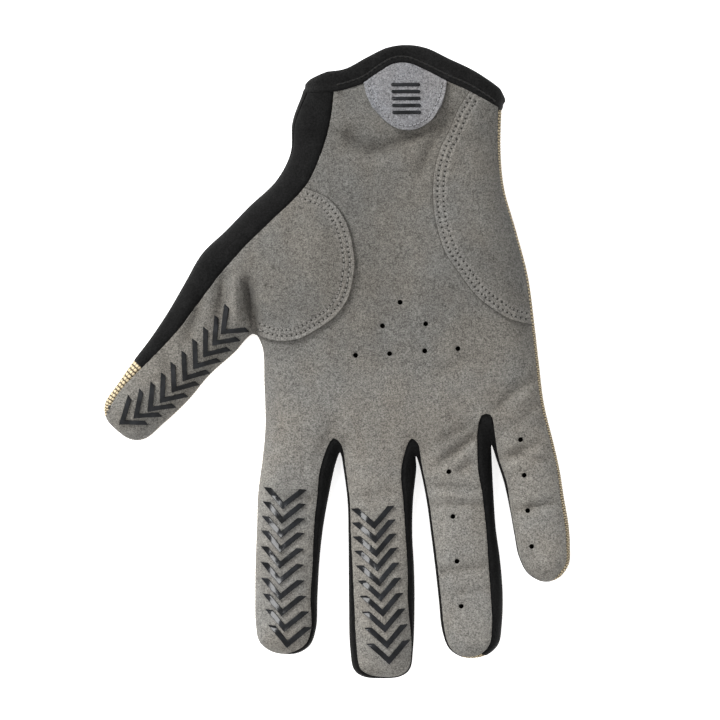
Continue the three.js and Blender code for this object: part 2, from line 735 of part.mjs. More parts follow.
function thumbLift(x, y) {
  const [a, b] = [thumbRootLine[0], thumbRootLine[ACROSS]];
  const beyond = ((x - a.x) * (b.y - a.y) - (y - a.y) * (b.x - a.x)) / a.distanceTo(b);
  return LAP * (1 - THREE.MathUtils.smoothstep(beyond, 0, LAP_FADE));
}

// Rows of the pad lie closer together towards the thumb's root, where it folds.
const padRows = [0, 0.27, 0.54, 0.79, 0.92, 1];
const padSeam = stations.slice(placeOf.thenarTop, placeOf.thumbRoot + 1).map((s) => s.palm);
const padLeft = curved(padSeam, padRows);
const padTop = curved([padSeam[0], ...thenarArc.upper, thenarArc.corner], even(ACROSS));
const padRight = curved([thenarArc.corner, ...thenarArc.lower, thumbRootLine[ACROSS]], padRows);
const thenarBlock = fill(padTop, thumbRootLine, padLeft, padRight, even(ACROSS), padRows);
const thumbGrids = [thenarBlock, palmBlocks.thumb].map((grid) => ({ grid: laid(grid, PALM, thumbLift) }));
addPiece("thumb_panel", thicken(thumbGrids, SUEDE), suede);

// Heel panel: the patch on the outer side of the palm, which ends a little inside the palm seam
const PATCH_MARGIN = 0.7;
const patchRows = even(6);
// Columns lie closer together towards the outer side, where the palm bends down.
const patchColumns = [0, 0.22, 0.44, 0.64, 0.8, 0.92, 1];
const heelSeam = stations
  .slice(placeOf.heelEnd, placeOf.wristRight + 1)
  .map(({ palm, inward }) => palm.clone().addScaledVector(inward, PATCH_MARGIN))
  .reverse();
const heelRight = curved(heelSeam, patchRows);
const heelLeft = curved([heelArc.top, ...heelArc.upper, heelArc.corner], patchRows);
const heelBottom = curved([heelArc.corner, ...heelArc.lower, heelSeam[heelSeam.length - 1]], patchColumns);
const heelTop = straight(heelLeft[0], heelRight[0], patchColumns);
const heelBlock = fill(heelTop, heelBottom, heelLeft, heelRight, patchColumns);
addPiece("heel_panel", thicken([{ grid: laid(heelBlock, PALM, () => LAP) }], SUEDE), suede);

// Pull tab: a small shield that hangs from the binding
const TAB_STEPS = { across: even(6), down: even(2) };
const [tabTop, tabBottom] = [tabEdge.top, tabEdge.bottom].map((points) => curved(points, TAB_STEPS.across));
const [tabLeft, tabRight] = [tabEdge.left, tabEdge.right].map((points) => curved(points, TAB_STEPS.down));
const tabBlock = fill(tabTop, tabBottom, tabLeft, tabRight);
addPiece("pull_tab", thicken([{ grid: laid(tabBlock, PALM, () => TAB_GAP + TAB) }], TAB), tabSuede);

// Back panel: one sheet of rib knit. Where no side piece is sewn in, it climbs over the rim to the palm seam.
const backBlocks = handBlocks("back", backCuff.edge);
const knitStretches = [
  stretch(placeOf.thumbBlackEnd, placeOf.indexTip),
  stretch(placeOf.ringTip - 1, placeOf.ringTip + 1),
  stretch(placeOf.pinkyTip, placeOf.wristRight),
];
const backGrids = [
  ...Object.values(backBlocks).map((grid) => ({ grid: laid(grid, BACK), turned: true })),
  ...knitStretches.map((places) => ({ grid: strip(places, 0, 2, [SEAM_GAP, 0]), turned: true })),
];
addPiece("back_panel", thicken(backGrids, KNIT), tanKnit);

// Gussets: black stretch strips that run down one finger's side and up the next one's
const gussets = [
  { name: "gusset_index_middle", from: placeOf.indexTip, to: placeOf.middleTip },
  { name: "gusset_middle_ring", from: placeOf.middleTip, to: placeOf.ringTip - 1 },
  { name: "gusset_ring_pinky", from: placeOf.ringTip + 1, to: placeOf.pinkyTip },
];
for (const { name, from, to } of gussets) {
  const grid = strip(stretch(from, to, [true, true]), 0, 2, [SEAM_GAP, SEAM_GAP]);
  addPiece(name, thicken([{ grid, turned: true }], STRETCH), blackStretch);
}

// Thumb side panel and cuff side panel: black stretch strips. The seam between them runs down the side of
// the cuff, from station to station on the girth, and meets the back seam where the cuff side panel ends.
const cuffSeam = [0.7, 0.85, 1];
const CUFF_POINT = { along: 0.7, seam: 1.86 };
const sidePlaces = stretch(placeOf.wristLeft, placeOf.thumbBlackEnd, [false, true]);
const sideGrid = strip(sidePlaces, 0, sidePlaces.map((_, i) => cuffSeam[i] ?? 2), [SEAM_GAP, END_GAP]);
addPiece("thumb_side_panel", thicken([{ grid: sideGrid, turned: true }], STRETCH), blackStretch);
const [seamLast, seamNext] = sidePlaces.slice(cuffSeam.length - 1);
const cuffPoint = station(THREE.MathUtils.lerp(seamLast.number, seamNext.number, CUFF_POINT.along));
const cuffPlaces = [...sidePlaces.slice(0, cuffSeam.length), cuffPoint];
const cuffGrid = strip(cuffPlaces, [...cuffSeam, CUFF_POINT.seam], 2, [0, END_GAP]);
addPiece("cuff_side_panel", thicken([{ grid: cuffGrid, turned: true }], STRETCH), blackStretch);

// Binding: a folded band that runs round the whole cuff and closes off the edges of the sheets
const palmBand = curveThrough(palmCuff.outer);
const backBand = curveThrough(backCuff.outer);
const cuffRow = (row, side, band) =>
  row.map(({ x, y }, i) => ({
    base: skinPoint(x, y, side),
    outer: band.getPointAt(i / (row.length - 1)),
    proud: side === PALM ? BINDING_PROUD : 0,
  }));
const palmRow = cuffRow(palmBlocks.palm[0], PALM, palmBand);
const backRow = cuffRow(backBlocks.palm[0], BACK, backBand);

// Round each side of the cuff, the band follows the girth from its palm edge to its back edge.
function cuffTurn(place, [upper, lower], corner) {
  const band = curveThrough([upper.outer, corner, lower.outer]);
  const positions = [0.5, 1, 1.5];
  return positions.map((u) => ({
    base: girthPoint(place, u),
    outer: band.getPoint(u / 2),
    proud: BINDING_PROUD * (1 - u / 2),
  }));
}

const outerEnds = [palmRow, backRow].map((row) => row[row.length - 1]);
const outerTurn = cuffTurn(stations[placeOf.wristRight], outerEnds, cuffCorner.right);
const thumbTurn = cuffTurn(stations[placeOf.wristLeft], [palmRow[0], backRow[0]], cuffCorner.left);
// The section of the band: how far out from the sheets' edge, and how deep under its upper face.
const bindingSection = [
  { reach: 0, depth: 0 },
  { reach: 0.85, depth: 0 },
  { reach: 1, depth: 0.5 },
  { reach: 0.85, depth: 1 },
  { reach: 0, depth: 1 },
];
const bindingLoops = [...palmRow, ...outerTurn, ...backRow.reverse(), ...thumbTurn.reverse()].map(
  ({ base: { at, out }, outer, proud }) => {
    const edge = new THREE.Vector3(outer.x - at.x, outer.y - at.y, 0);
    const start = at.clone().addScaledVector(edge, TRIM_GAP / edge.length());
    return bindingSection.map(({ reach, depth }) =>
      start.clone().addScaledVector(edge, reach).addScaledVector(out, proud - depth * BINDING_THICKNESS),
    );
  },
);
addPiece("cuff_binding", joinLoops(bindingLoops, true), bindingCloth);

// Grips: raised arrowheads printed on the thumb, index and middle fingers, cut square to their own axis
function gripLoops(x, y, turn, arms, baseHeight) {
  const angle = THREE.MathUtils.degToRad(turn);
  const [left, right] = arms.map((arm) => flat(arm).applyAxisAngle(UP, angle));
  const axis = left.clone().normalize().add(right.clone().normalize()).normalize();
  const square = new THREE.Vector3(axis.y, -axis.x, 0);
  const rows = [
    { arm: left, along: 1, inner: square },
    { arm: left, along: 0.5, inner: square },
    { arm: left, along: 0, inner: axis },
    { arm: right, along: 0.5, inner: square.clone().negate() },
    { arm: right, along: 1, inner: square.clone().negate() },
  ];
  return rows.map(({ arm, along, inner }) => {
    const centre = flat([x, y]).addScaledVector(arm, along);
    const half = ((GRIP_STROKE / 2) * arm.length()) / Math.abs(arm.x * inner.y - arm.y * inner.x);
    const corner = (way, height) => {
      const plan = centre.clone().addScaledVector(inner, way * half);
      return lifted(skinPoint(plan.x, plan.y, PALM), baseHeight(plan.x, plan.y) + height).at;
    };
    const top = GRIP_GAP + GRIP_THICKNESS;
    return [corner(1, GRIP_GAP), corner(-1, GRIP_GAP), corner(-1, top), corner(1, top)];
  });
}

for (const [digit, { left, right, line }] of Object.entries(grips)) {
  const path = new THREE.CatmullRomCurve3(line.map(({ x, y, turn }) => new THREE.Vector3(x, y, turn)));
  even(GRIPS_PER_DIGIT - 1).forEach((f, i) => {
    const { x, y, z: turn } = path.getPoint(f);
    const baseHeight = digit === "thumb" ? thumbLift : () => 0;
    const name = `grip_${digit}_${String(i + 1).padStart(2, "0")}`;
    addPiece(name, joinLoops(gripLoops(x, y, turn, [left, right], baseHeight), false), silicone);
  });
}

export default glove;
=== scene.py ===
"""A full-finger cycling glove for the right hand, lying on its back with the palm up.

The glove is sewn from flat panels that are bent over one common skin, as in the part's source. Plans and
heights are in millimetres up to the point where a mesh is made, and every mesh is in metres.
"""
import math

import bpy
import numpy as np
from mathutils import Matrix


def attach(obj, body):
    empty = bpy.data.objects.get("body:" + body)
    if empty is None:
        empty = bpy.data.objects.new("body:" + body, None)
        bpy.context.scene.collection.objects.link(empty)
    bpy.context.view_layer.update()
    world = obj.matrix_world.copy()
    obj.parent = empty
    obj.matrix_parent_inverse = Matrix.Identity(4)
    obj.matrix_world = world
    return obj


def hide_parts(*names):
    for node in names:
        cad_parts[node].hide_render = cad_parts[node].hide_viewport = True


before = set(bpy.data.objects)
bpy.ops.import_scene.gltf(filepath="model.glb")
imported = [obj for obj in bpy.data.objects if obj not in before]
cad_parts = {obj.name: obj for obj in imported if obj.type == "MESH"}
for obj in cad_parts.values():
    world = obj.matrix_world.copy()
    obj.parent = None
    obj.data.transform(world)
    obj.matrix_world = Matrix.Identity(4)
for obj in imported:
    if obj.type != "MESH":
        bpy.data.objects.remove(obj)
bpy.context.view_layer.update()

MM = 0.001
PALM, BACK = 1, -1

# The skin
RIM_HEIGHT = 6.0
FINGER_CROWN = 6.5
FINGER_ROUNDING = 9.0
PALM_ROUNDING = 13.0
UNDERSIDE_ROUNDING = 6.0
ROUNDING_POWER = 2.2
BACK_SEAM_INSET = 2.2
CUFF_PANEL_INSET = 11.0
KNUCKLES = (-45.0, 0.0)
FOLD_END = 0.15
# The tips curl up off the floor: how high they rise, where that starts and over what length.
FINGER_CURL = dict(rise=5.0, start=-40.0, length=74.0)
THUMB_CURL = dict(rise=3.0, start=-45.0, length=40.0)

# Walls
SUEDE = 1.0
STRETCH = 0.8
KNIT = 1.2
TAB = 1.1

# Rows of a digit: distance from its root along its axis, rim and palm seam across it, mark.
DIGITS = {
    "thumb": dict(
        root=(-27.2, 35.8), tilt=-41.7, tip=80.2, palm_tip=79.2, blunt=2.8,
        left=[
            (-12, -17.0, -7.1, None),
            (0, -17.5, -8.0, "thumb_root"),
            (12, -18.4, -8.2, None),
            (24, -16.0, -7.4, None),
            (36, -13.5, -6.2, None),
            (48, -11.8, -6.3, None),
            (57, -11.1, -6.8, "thumb_black_end"),
            (67, -9.9, -7.2, None),
        ],
        right=[
            (67, 12.2, 11.4, None),
            (55, 13.2, 12.4, None),
            (43, 12.9, 12.1, None),
            (31, 14.2, 13.4, None),
        ],
    ),
    "index": dict(
        root=(-13.9, -28.3), tilt=-4.0, tip=77.2, palm_tip=76.2, blunt=2.3,
        left=[
            (8, -12.8, -12.0, "index_left"),
            (20, -13.5, -12.7, None),
            (32, -13.1, -12.3, None),
            (44, -12.7, -11.9, None),
            (56, -12.0, -11.2, None),
            (67, -11.0, -10.2, None),
        ],
        right=[
            (67, 10.9, 9.2, None),
            (56, 10.6, 8.2, None),
            (44, 10.4, 8.1, None),
            (32, 10.8, 7.7, None),
            (20, 12.0, 8.0, None),
            (8, 13.7, 8.7, "index_right"),
        ],
    ),
    "middle": dict(
        root=(14.9, -28.3), tilt=0.5, tip=85.6, palm_tip=84.2, blunt=3.2,
        left=[
            (10, -12.9, -12.1, "middle_left"),
            (22, -11.5, -10.7, None),
            (34, -11.3, -10.4, None),
            (46, -11.3, -9.9, None),
            (58, -11.3, -9.4, None),
            (75, -11.0, -8.6, None),
        ],
        right=[
            (75, 11.7, 10.4, None),
            (58, 12.4, 9.9, None),
            (46, 12.3, 9.9, None),
            (34, 11.8, 9.3, None),
            (22, 12.2, 8.6, None),
            (10, 13.5, 8.0, "middle_right"),
        ],
    ),
    "ring": dict(
        root=(40.5, -28.3), tilt=5.2, tip=78.9, palm_tip=78.0, blunt=2.2,
        left=[
            (9, -11.6, -10.8, "ring_left"),
            (21, -10.3, -9.5, None),
            (33, -9.8, -9.0, None),
            (45, -9.4, -8.6, None),
            (57, -9.2, -8.4, None),
            (68, -9.0, -8.2, None),
        ],
        right=[
            (68, 12.6, 8.8, None),
            (57, 14.0, 9.4, None),
            (45, 14.2, 9.7, None),
            (33, 13.7, 10.0, None),
            (21, 14.0, 9.8, None),
            (9, 14.5, 9.1, "ring_right"),
        ],
    ),
    "pinky": dict(
        root=(66.1, -23.9), tilt=11.8, tip=56.5, palm_tip=55.6, blunt=2.0,
        left=[
            (9, -10.9, -10.1, "pinky_left"),
            (18, -9.9, -9.1, None),
            (28, -9.8, -9.0, None),
            (38, -10.1, -9.3, None),
            (45, -10.2, -9.4, None),
        ],
        right=[
            (45, 8.9, 7.8, None),
            (38, 9.9, 8.8, None),
            (28, 10.3, 9.3, None),
            (18, 10.8, 10.0, None),
            (9, 10.7, 9.9, "pinky_right"),
        ],
    ),
}
FINGERS = ("index", "middle", "ring", "pinky")

# Outlines between the digits: rim, palm seam, how far the back seam lies in from the rim, mark.
CUFF_SIDE = [
    ((-12.6, 97.2), (-1.2, 97.6), CUFF_PANEL_INSET, "wrist_left"),
    ((-16.4, 86.3), (-2.6, 86.3), CUFF_PANEL_INSET, None),
    ((-17.0, 75.5), (-5.6, 75.4), CUFF_PANEL_INSET, None),
    ((-22.0, 65.6), (-11.7, 62.5), 7.0, "thenar_top"),
]
THUMB_WEB = [
    ((-30.4, 10.0), (-29.9, 11.0), BACK_SEAM_INSET, "thumb_crotch"),
    ((-27.4, 5.8), (-26.6, 6.2), BACK_SEAM_INSET, None),
    ((-26.5, -9.0), (-25.7, -9.0), BACK_SEAM_INSET, None),
    ((-26.2, -24.0), (-25.4, -24.0), BACK_SEAM_INSET, None),
]
CROTCHES = {
    "index": [
        ((0.8, -32.9), (-1.5, -27.6), BACK_SEAM_INSET, None),
        ((1.0, -33.1), (1.2, -29.6), BACK_SEAM_INSET, None),
        ((1.4, -34.2), (2.2, -33.2), BACK_SEAM_INSET, None),
    ],
    "middle": [
        ((28.3, -34.3), (26.5, -27.7), BACK_SEAM_INSET, None),
        ((28.5, -34.4), (28.9, -29.5), BACK_SEAM_INSET, None),
        ((28.9, -35.4), (29.7, -33.2), BACK_SEAM_INSET, None),
    ],
    "ring": [
        ((55.6, -30.2), (51.6, -19.4), BACK_SEAM_INSET, None),
        ((55.7, -30.3), (54.9, -19.2), BACK_SEAM_INSET, None),
        ((56.1, -31.2), (56.6, -26.4), BACK_SEAM_INSET, None),
    ],
}
OUTER_SIDE = [
    ((74.7, -15.3), (73.8, -15.3), BACK_SEAM_INSET, None),
    ((72.9, -0.9), (72.0, -0.9), BACK_SEAM_INSET, None),
    ((71.3, 13.0), (70.4, 13.0), BACK_SEAM_INSET, "heel_end"),
    ((68.9, 30.8), (68.0, 30.8), BACK_SEAM_INSET, None),
    ((64.6, 47.3), (63.7, 47.3), BACK_SEAM_INSET, None),
    ((60.3, 62.5), (59.4, 62.5), BACK_SEAM_INSET, None),
    ((59.0, 76.1), (58.1, 76.1), BACK_SEAM_INSET, None),
    ((59.3, 91.2), (58.3, 91.3), BACK_SEAM_INSET, "wrist_right"),
]

# The cuff, from the thumb side to the outer side: where the sheets end, and the edge of the binding.
PALM_CUFF_EDGE = [
    (3.6, 98.7), (9.8, 101), (15.5, 105), (20.2, 107.6), (25.3, 107.8), (31.5, 105.3), (39.6, 101.3),
    (47, 98),
]
PALM_CUFF_OUTER = [
    (-4.0, 104.3), (2.6, 105.3), (10.4, 109.4), (18.0, 113.0), (25.0, 113.9), (32.0, 112.8), (40.0, 109.0),
    (49.0, 104.7), (58.6, 98.9),
]
BACK_CUFF_EDGE = [(9, 100.4), (22, 102), (36, 100.6), (48, 97)]
BACK_CUFF_OUTER = [(-4.0, 103.0), (8.5, 105.8), (22, 107.5), (36.5, 106), (49, 102.2), (58.4, 97.8)]
CUFF_CORNER_LEFT, CUFF_CORNER_RIGHT = (-10.4, 102.0), (60.6, 95.6)

# Soft mounds that raise or lower the palm: x, y, spread along x, spread along y, rise.
MOUNDS = [
    (22, 28, 46, 46, 3.8),
    (-10, 30, 20, 24, 3.2),
    (52, 48, 17, 34, 2.4),
    (24, -16, 44, 12, 1.6),
    (20, 38, 15, 22, -2.2),
]

# Folds that press the palm side in: from, to, width, depth. A negative depth is a ridge.
FOLDS = [
    ((1.5, 82.0), (10.5, 76.6), 3.4, 2.5),
    ((10.0, 76.4), (16.5, 76.2), 2.8, 1.7),
    ((15.5, 76.4), (32, 82.5), 3.4, 2.3),
    ((4, 71), (22, 70.5), 3.5, -0.7),
    ((-4, 88), (7, 84.5), 3.5, -0.7),
    ((43, 92), (33.5, 77), 3.6, 1.5),
    ((34.0, 79), (30.0, 67), 2.6, 1.0),
    ((46, 81), (56, 78), 3.0, 0.8),
    ((-32.4, 28.5), (-28.8, 9.5), 2.6, 6.0),
    ((-36.8, 30), (-36, 13), 2.4, -2.2),
    ((-41, 31), (-43, 14), 2.4, 2.2),
    ((-49, 24), (-54, 7), 2.6, 1.8),
    ((-51, 27), (-58, 12), 2.2, -0.6),
    ((-63, 4), (-60, -4), 2.4, 1.3),
    ((31, -44.5), (53, -45.5), 1.7, 1.2),
    ((33, -51.0), (54, -52.0), 1.5, 1.1),
    ((32, -48), (52, -48.5), 1.6, -0.6),
    ((34, -76), (54, -73.5), 1.9, 1.4),
    ((37, -83.5), (55, -82), 1.5, 0.8),
    ((37, -36.5), (51.5, -25), 2.1, 2.0),
    ((35, -30), (48, -22), 2.0, 0.9),
    ((42, -40.5), (52, -34), 1.5, 1.2),
    ((40, -38.5), (51, -30), 1.4, -0.7),
    ((57, -36), (72, -29.5), 1.8, 1.5),
    ((61, -33), (76, -36), 1.6, 0.9),
    ((60, -38.5), (74, -32.5), 1.3, -0.6),
    ((63, -54), (79, -50.5), 1.7, 1.5),
    ((56, -17.5), (72, -4.5), 1.8, 1.15),
    ((60, -12), (67, -5), 1.6, 0.6),
    ((62, -17.5), (72, -9), 1.4, -0.6),
    ((65, -22), (74, -13), 1.5, 0.8),
    ((36, -4), (50, 3), 3.0, 0.7),
    ((4, -49), (20, -47), 2.0, 0.8),
    ((-24, -48), (-6, -50), 2.0, 0.8),
    ((-8, -36), (-1, -22), 2.6, 1.0),
]
# Share of each fold that is a sharp crease along its middle.
CREASE = 0.35
# How wide the painted shade of a fold is, as a share of its width.
FOLD_SHADE_SHARE = 0.8

# Edges of the pieces that are sewn on the palm, in plan.
THENAR_UPPER = [(-2.7, 58.1), (3.4, 49.5), (6.1, 38.3)]
THENAR_CORNER = (6.4, 33.7)
THENAR_LOWER = [(4.1, 22.9), (-0.5, 16.2), (-7.2, 11.3), (-13.9, 7.9), (-21.2, 7.3)]
HEEL_TOP = (47.2, 97.0)
HEEL_UPPER = [(43.3, 90.8), (39.6, 82.2), (36.5, 76.1), (34.3, 66.9), (34.0, 57.5)]
HEEL_CORNER = (34.9, 49.5)
HEEL_LOWER = [(38.3, 39.0), (43.3, 31.5), (49.5, 23.4), (55.7, 18.5), (61.9, 14.8)]
TAB_TOP = [(9.4, 100.0), (15.2, 104.0), (20.2, 106.8), (25.3, 107.0), (31.0, 104.8), (39.2, 100.6)]
TAB_RIGHT = [(39.2, 100.6), (38.6, 96.2), (37.2, 92.0)]
TAB_BOTTOM = [
    (12.6, 91.7), (15.8, 87.6), (20.2, 84.1), (24.6, 82.9), (29.4, 83.7), (33.8, 86.6), (37.2, 92.0),
]
TAB_LEFT = [(9.4, 100.0), (10.5, 95.6), (12.6, 91.7)]

# Vents in the palm, and a row of them on two fingers: first and last place, along and across the axis.
PALM_VENTS = [(22.5, 21.2), (16.2, 12.7), (31.6, 13.5), (6.5, 2.2), (18.7, 2.8), (31.3, 3.8), (43.2, 4.6)]
FINGER_VENTS = {"ring": ((11.2, -1.5), (59.6, -1.5)), "pinky": ((4, -1.2), (42.4, -5.1))}
VENTS_PER_FINGER = 4
VENT_RADIUS = 0.88

# Printed grips: their two arms with their widths, and the line that their points follow, as x, y and turn
# in degrees.
GRIPS = {
    "index": dict(
        left=(-5.4, 6.6), right=(7.3, 5.9), widths=(1.85, 1.85),
        line=[(-19.6, -51.8, 0), (-20.5, -67.4, 0), (-20.5, -84.3, 0), (-18.0, -101.1, 0)],
    ),
    "middle": dict(
        left=(-6.8, 6.1), right=(6.0, 7.1), widths=(1.85, 1.85),
        line=[(13.2, -58.9, 0), (14.3, -74.0, 0), (16.2, -90.1, 0), (18.5, -107.0, 0)],
    ),
    "thumb": dict(
        left=(0.9, 9.2), right=(8.4, 1.5), widths=(1.7, 1.4),
        line=[(-77.2, -21.7, -12), (-66.1, -16.3, 0), (-56.8, -8.0, 7), (-48.4, 1.5, 5), (-41.0, 10.7, -4)],
    ),
}
GRIPS_PER_DIGIT = 10
GRIP_HEIGHT = 0.75
# The prints on the thumb all lie to the left of this line, and those on the fingers to its right.
THUMB_PRINT_EDGE = -29.0


# Curves in plan
def curve(points, t):
    """Places on a centripetal Catmull-Rom curve through the points, at t from 0 to 1."""
    points = np.asarray(points, float)
    place = np.clip(np.asarray(t, float), 0, 1) * (len(points) - 1)
    first = np.minimum(place.astype(int), len(points) - 2)
    w = (place - first)[:, None]
    ends = np.vstack([2 * points[0] - points[1], points, 2 * points[-1] - points[-2]])
    p0, p1, p2, p3 = (ends[first + k] for k in range(4))
    d0, d1, d2 = (np.sqrt(np.linalg.norm(b - a, axis=1))[:, None] for a, b in ((p0, p1), (p1, p2), (p2, p3)))
    leave = ((p1 - p0) / d0 - (p2 - p0) / (d0 + d1) + (p2 - p1) / d1) * d1
    arrive = ((p2 - p1) / d1 - (p3 - p1) / (d1 + d2) + (p3 - p2) / d2) * d1
    return p1 + w * (leave + w * (3 * (p2 - p1) - 2 * leave - arrive + w * (2 * (p1 - p2) + leave + arrive)))


def run_lengths(points):
    return np.concatenate([[0], np.cumsum(np.linalg.norm(np.diff(points, axis=0), axis=1))])


def along(points, shares):
    """Places at shares of the length of the curve through the points."""
    t = np.linspace(0, 1, 400)
    lengths = run_lengths(curve(points, t))
    return curve(points, np.interp(np.asarray(shares) * lengths[-1], lengths, t))


def straight(a, b, shares):
    return np.asarray(a) + np.asarray(shares)[:, None] * (np.asarray(b) - np.asarray(a))


def smooth(value, low, high):
    t = np.clip((value - low) / (high - low), 0, 1)
    return t * t * (3 - 2 * t)


def nearest_on(line, plan):
    """The way from each place to the nearest point of a polyline, its distance, and how far along it is."""
    start, step = line[:-1], np.diff(line, axis=0)
    lengths = run_lengths(line)
    longest = np.diff(lengths).max()
    ways, reached = [], []
    for part in np.array_split(plan, max(1, len(plan) // 300)):
        # Only the pieces of the line that can be nearest to some place of this part are looked at.
        middle = part.mean(axis=0)
        radius = np.linalg.norm(part - middle, axis=1).max()
        gap = np.linalg.norm(start - middle, axis=1)
        close = np.flatnonzero(gap <= gap.min() + 2 * (radius + longest))
        gone = part[:, None] - start[close]
        t = np.clip((gone * step[close]).sum(-1) / (step[close] ** 2).sum(-1), 0, 1)
        way = step[close] * t[..., None] - gone
        best = (way * way).sum(-1).argmin(1)
        rows = np.arange(len(part))
        ways.append(way[rows, best])
        piece = close[best]
        reached.append(lengths[piece] + t[rows, best] * (lengths[piece + 1] - lengths[piece]))
    way = np.vstack(ways)
    return way, np.linalg.norm(way, axis=1), np.concatenate(reached)


# The outlines: control points from the wrist's thumb side round the fingertips to its other side
RIM, SEAM, INSET, MARK = [], [], [], {}


def add_control(rim, palm, inset, mark):
    if mark:
        MARK[mark] = len(RIM)
    RIM.append(rim)
    SEAM.append(palm)
    INSET.append(inset)


def on_digit(name, at, across):
    (x, y), tilt = DIGITS[name]["root"], math.radians(DIGITS[name]["tilt"])
    c, s = math.cos(tilt), math.sin(tilt)
    return x + s * at + c * across, y - c * at + s * across


def add_digit(name):
    """The end of a digit is half a superellipse between its last row on the left and first on the right."""
    digit = DIGITS[name]
    outer, inner = digit["left"][-1], digit["right"][0]

    def add_row(at, rim, palm, mark):
        add_control(on_digit(name, at, rim), on_digit(name, at, palm), BACK_SEAM_INSET, mark)

    for row in digit["left"]:
        add_row(*row)
    # The corners of a digit's block lie on the rounding of its tip, where its outline turns.
    marks = {35: f"{name}_tip_left", 90: f"{name}_tip", 145: f"{name}_tip_right"}
    for degrees in (35, 65, 90, 115, 145):
        c, s = math.cos(math.radians(degrees)), math.sin(math.radians(degrees))
        side = -math.copysign(abs(c) ** (2 / digit["blunt"]), c)
        reach = s ** (2 / digit["blunt"])
        ends = []
        for line, end in ((1, digit["tip"]), (2, digit["palm_tip"])):
            across = (outer[line] * (1 - side) + inner[line] * (1 + side)) / 2
            ends.append(on_digit(name, outer[0] + (end - outer[0]) * reach, across))
        add_control(*ends, BACK_SEAM_INSET, marks.get(degrees))
    for row in digit["right"]:
        add_row(*row)


for row in CUFF_SIDE:
    add_control(*row)
add_digit("thumb")
for row in THUMB_WEB:
    add_control(*row)
for finger in FINGERS:
    add_digit(finger)
    for row in CROTCHES.get(finger, []):
        add_control(*row)
for row in OUTER_SIDE:
    add_control(*row)

RIM, SEAM = np.array(RIM), np.array(SEAM)
LAST = len(RIM) - 1
# Share of the way to the rim that the palm seam is moved, where the suede is turned round the edge of the
# glove. On the outer side it is moved inwards, and shows more of the knit.
TURNED = [
    (MARK["thumb_tip"] - 1, MARK["index_tip"], 0.85),
    (MARK["middle_tip"], MARK["middle_tip_right"] + 1, 0.5),
    (MARK["pinky_left"] + 2, MARK["pinky_tip"], 0.7),
    (MARK["pinky_tip"] + 1, LAST, -0.5),
]
for first, last, share in TURNED:
    SEAM[first:last + 1] += share * (RIM[first:last + 1] - SEAM[first:last + 1])
RIM_SAMPLES = 1000
# The rim goes on straight past the cuff, so that the skin doesn't close there: how far, in how many steps.
PAST_CUFF, PAST_CUFF_STEPS = 60, 12
beyond_wrist = np.outer(np.linspace(0, 1, PAST_CUFF_STEPS + 1)[1:], (0, PAST_CUFF))
RIM_LINE = curve(RIM, np.linspace(0, 1, RIM_SAMPLES + 1))
RIM_LINE = np.vstack([RIM_LINE[0] + beyond_wrist[::-1], RIM_LINE, RIM_LINE[-1] + beyond_wrist])


class Places:
    """Matching places on the rim, the palm seam and the back seam, at control numbers."""

    def __init__(self, numbers):
        self.numbers = np.asarray(numbers, float)
        self.rim = curve(RIM, self.numbers / LAST)
        self.palm = curve(SEAM, self.numbers / LAST)
        inward = self.palm - self.rim
        self.inward = inward / np.linalg.norm(inward, axis=1)[:, None]
        inset = np.interp(self.numbers, np.arange(LAST + 1), INSET)
        self.back = self.rim + self.inward * inset[:, None]

    def part(self, start, end):
        return Places(self.numbers[start:end + 1])


# About how long the stretches of the outline are, from which their places are shared out.
STRETCHES = dict(wrist=36, thenar=33, thumb=72, thumb_knit=15, web=47, finger=64, crotch=10, heel=79)


# How many places lead from each mark to the next. A digit has as many on its right as on its left.
def place_counts(step, across, fold, root=None, heel=STRETCHES["heel"]):
    """Counts for places about step millimetres apart, in multiples of fold, with across columns on a digit.

    The palm has as many rows along the root of the thumb as the thumb has columns, unless root gives a
    length. Heel is the length beside the heel patch, from which the rows of the outer side are shared out.
    """
    def count(length):
        return fold * max(1, round(length / step / fold))

    stretch = {name: count(length) for name, length in STRETCHES.items()}
    half_tip = across // 2
    counts = {
        "root": count(root) if root else across,
        "wrist_left": stretch["wrist"],
        "thenar_top": stretch["thenar"],
        "thumb_root": stretch["thumb"] - stretch["thumb_knit"],
        "thumb_black_end": stretch["thumb_knit"],
        "thumb_tip_left": half_tip,
        "thumb_tip": half_tip,
        "thumb_tip_right": stretch["thumb"],
        "thumb_crotch": stretch["web"],
    }
    for name in FINGERS:
        counts[name + "_left"] = counts[name + "_tip_right"] = stretch["finger"]
        counts[name + "_tip_left"] = counts[name + "_tip"] = half_tip
        counts[name + "_right"] = stretch["crotch"]
    rows = sum(counts[mark] for mark in ("wrist_left", "thenar_top", "root", "thumb_crotch"))
    counts["heel_end"] = count(heel)
    counts["pinky_right"] = rows - counts["heel_end"]
    counts["wrist_right"] = 1
    return counts


def all_places(counts):
    numbers, place_of = [], {}
    marks = list(MARK)
    for i, mark in enumerate(marks):
        place_of[mark] = len(numbers)
        span = MARK[marks[i + 1]] - MARK[mark] if i + 1 < len(marks) else 0
        numbers += [MARK[mark] + span * k / counts[mark] for k in range(counts[mark])]
    return Places(numbers), place_of


# Height of the skin over a place in plan
LATTICE = 64


def wander(plan, size, seed):
    """Smooth noise from -1 to 1, with features of that size, the same on each run."""
    lattice = np.random.default_rng(seed).uniform(-1, 1, (LATTICE, LATTICE))
    place = plan / size + LATTICE // 2
    cell = np.floor(place).astype(int)
    u, v = (smooth(place - cell, 0, 1)).T
    i, j = cell.T % (LATTICE - 1)
    low = lattice[i, j] * (1 - u) + lattice[i + 1, j] * u
    high = lattice[i, j + 1] * (1 - u) + lattice[i + 1, j + 1] * u
    return low * (1 - v) + high * v


# Nearer to the rim than this, the way out of the glove is taken from the rim itself.
AT_RIM = 0.25
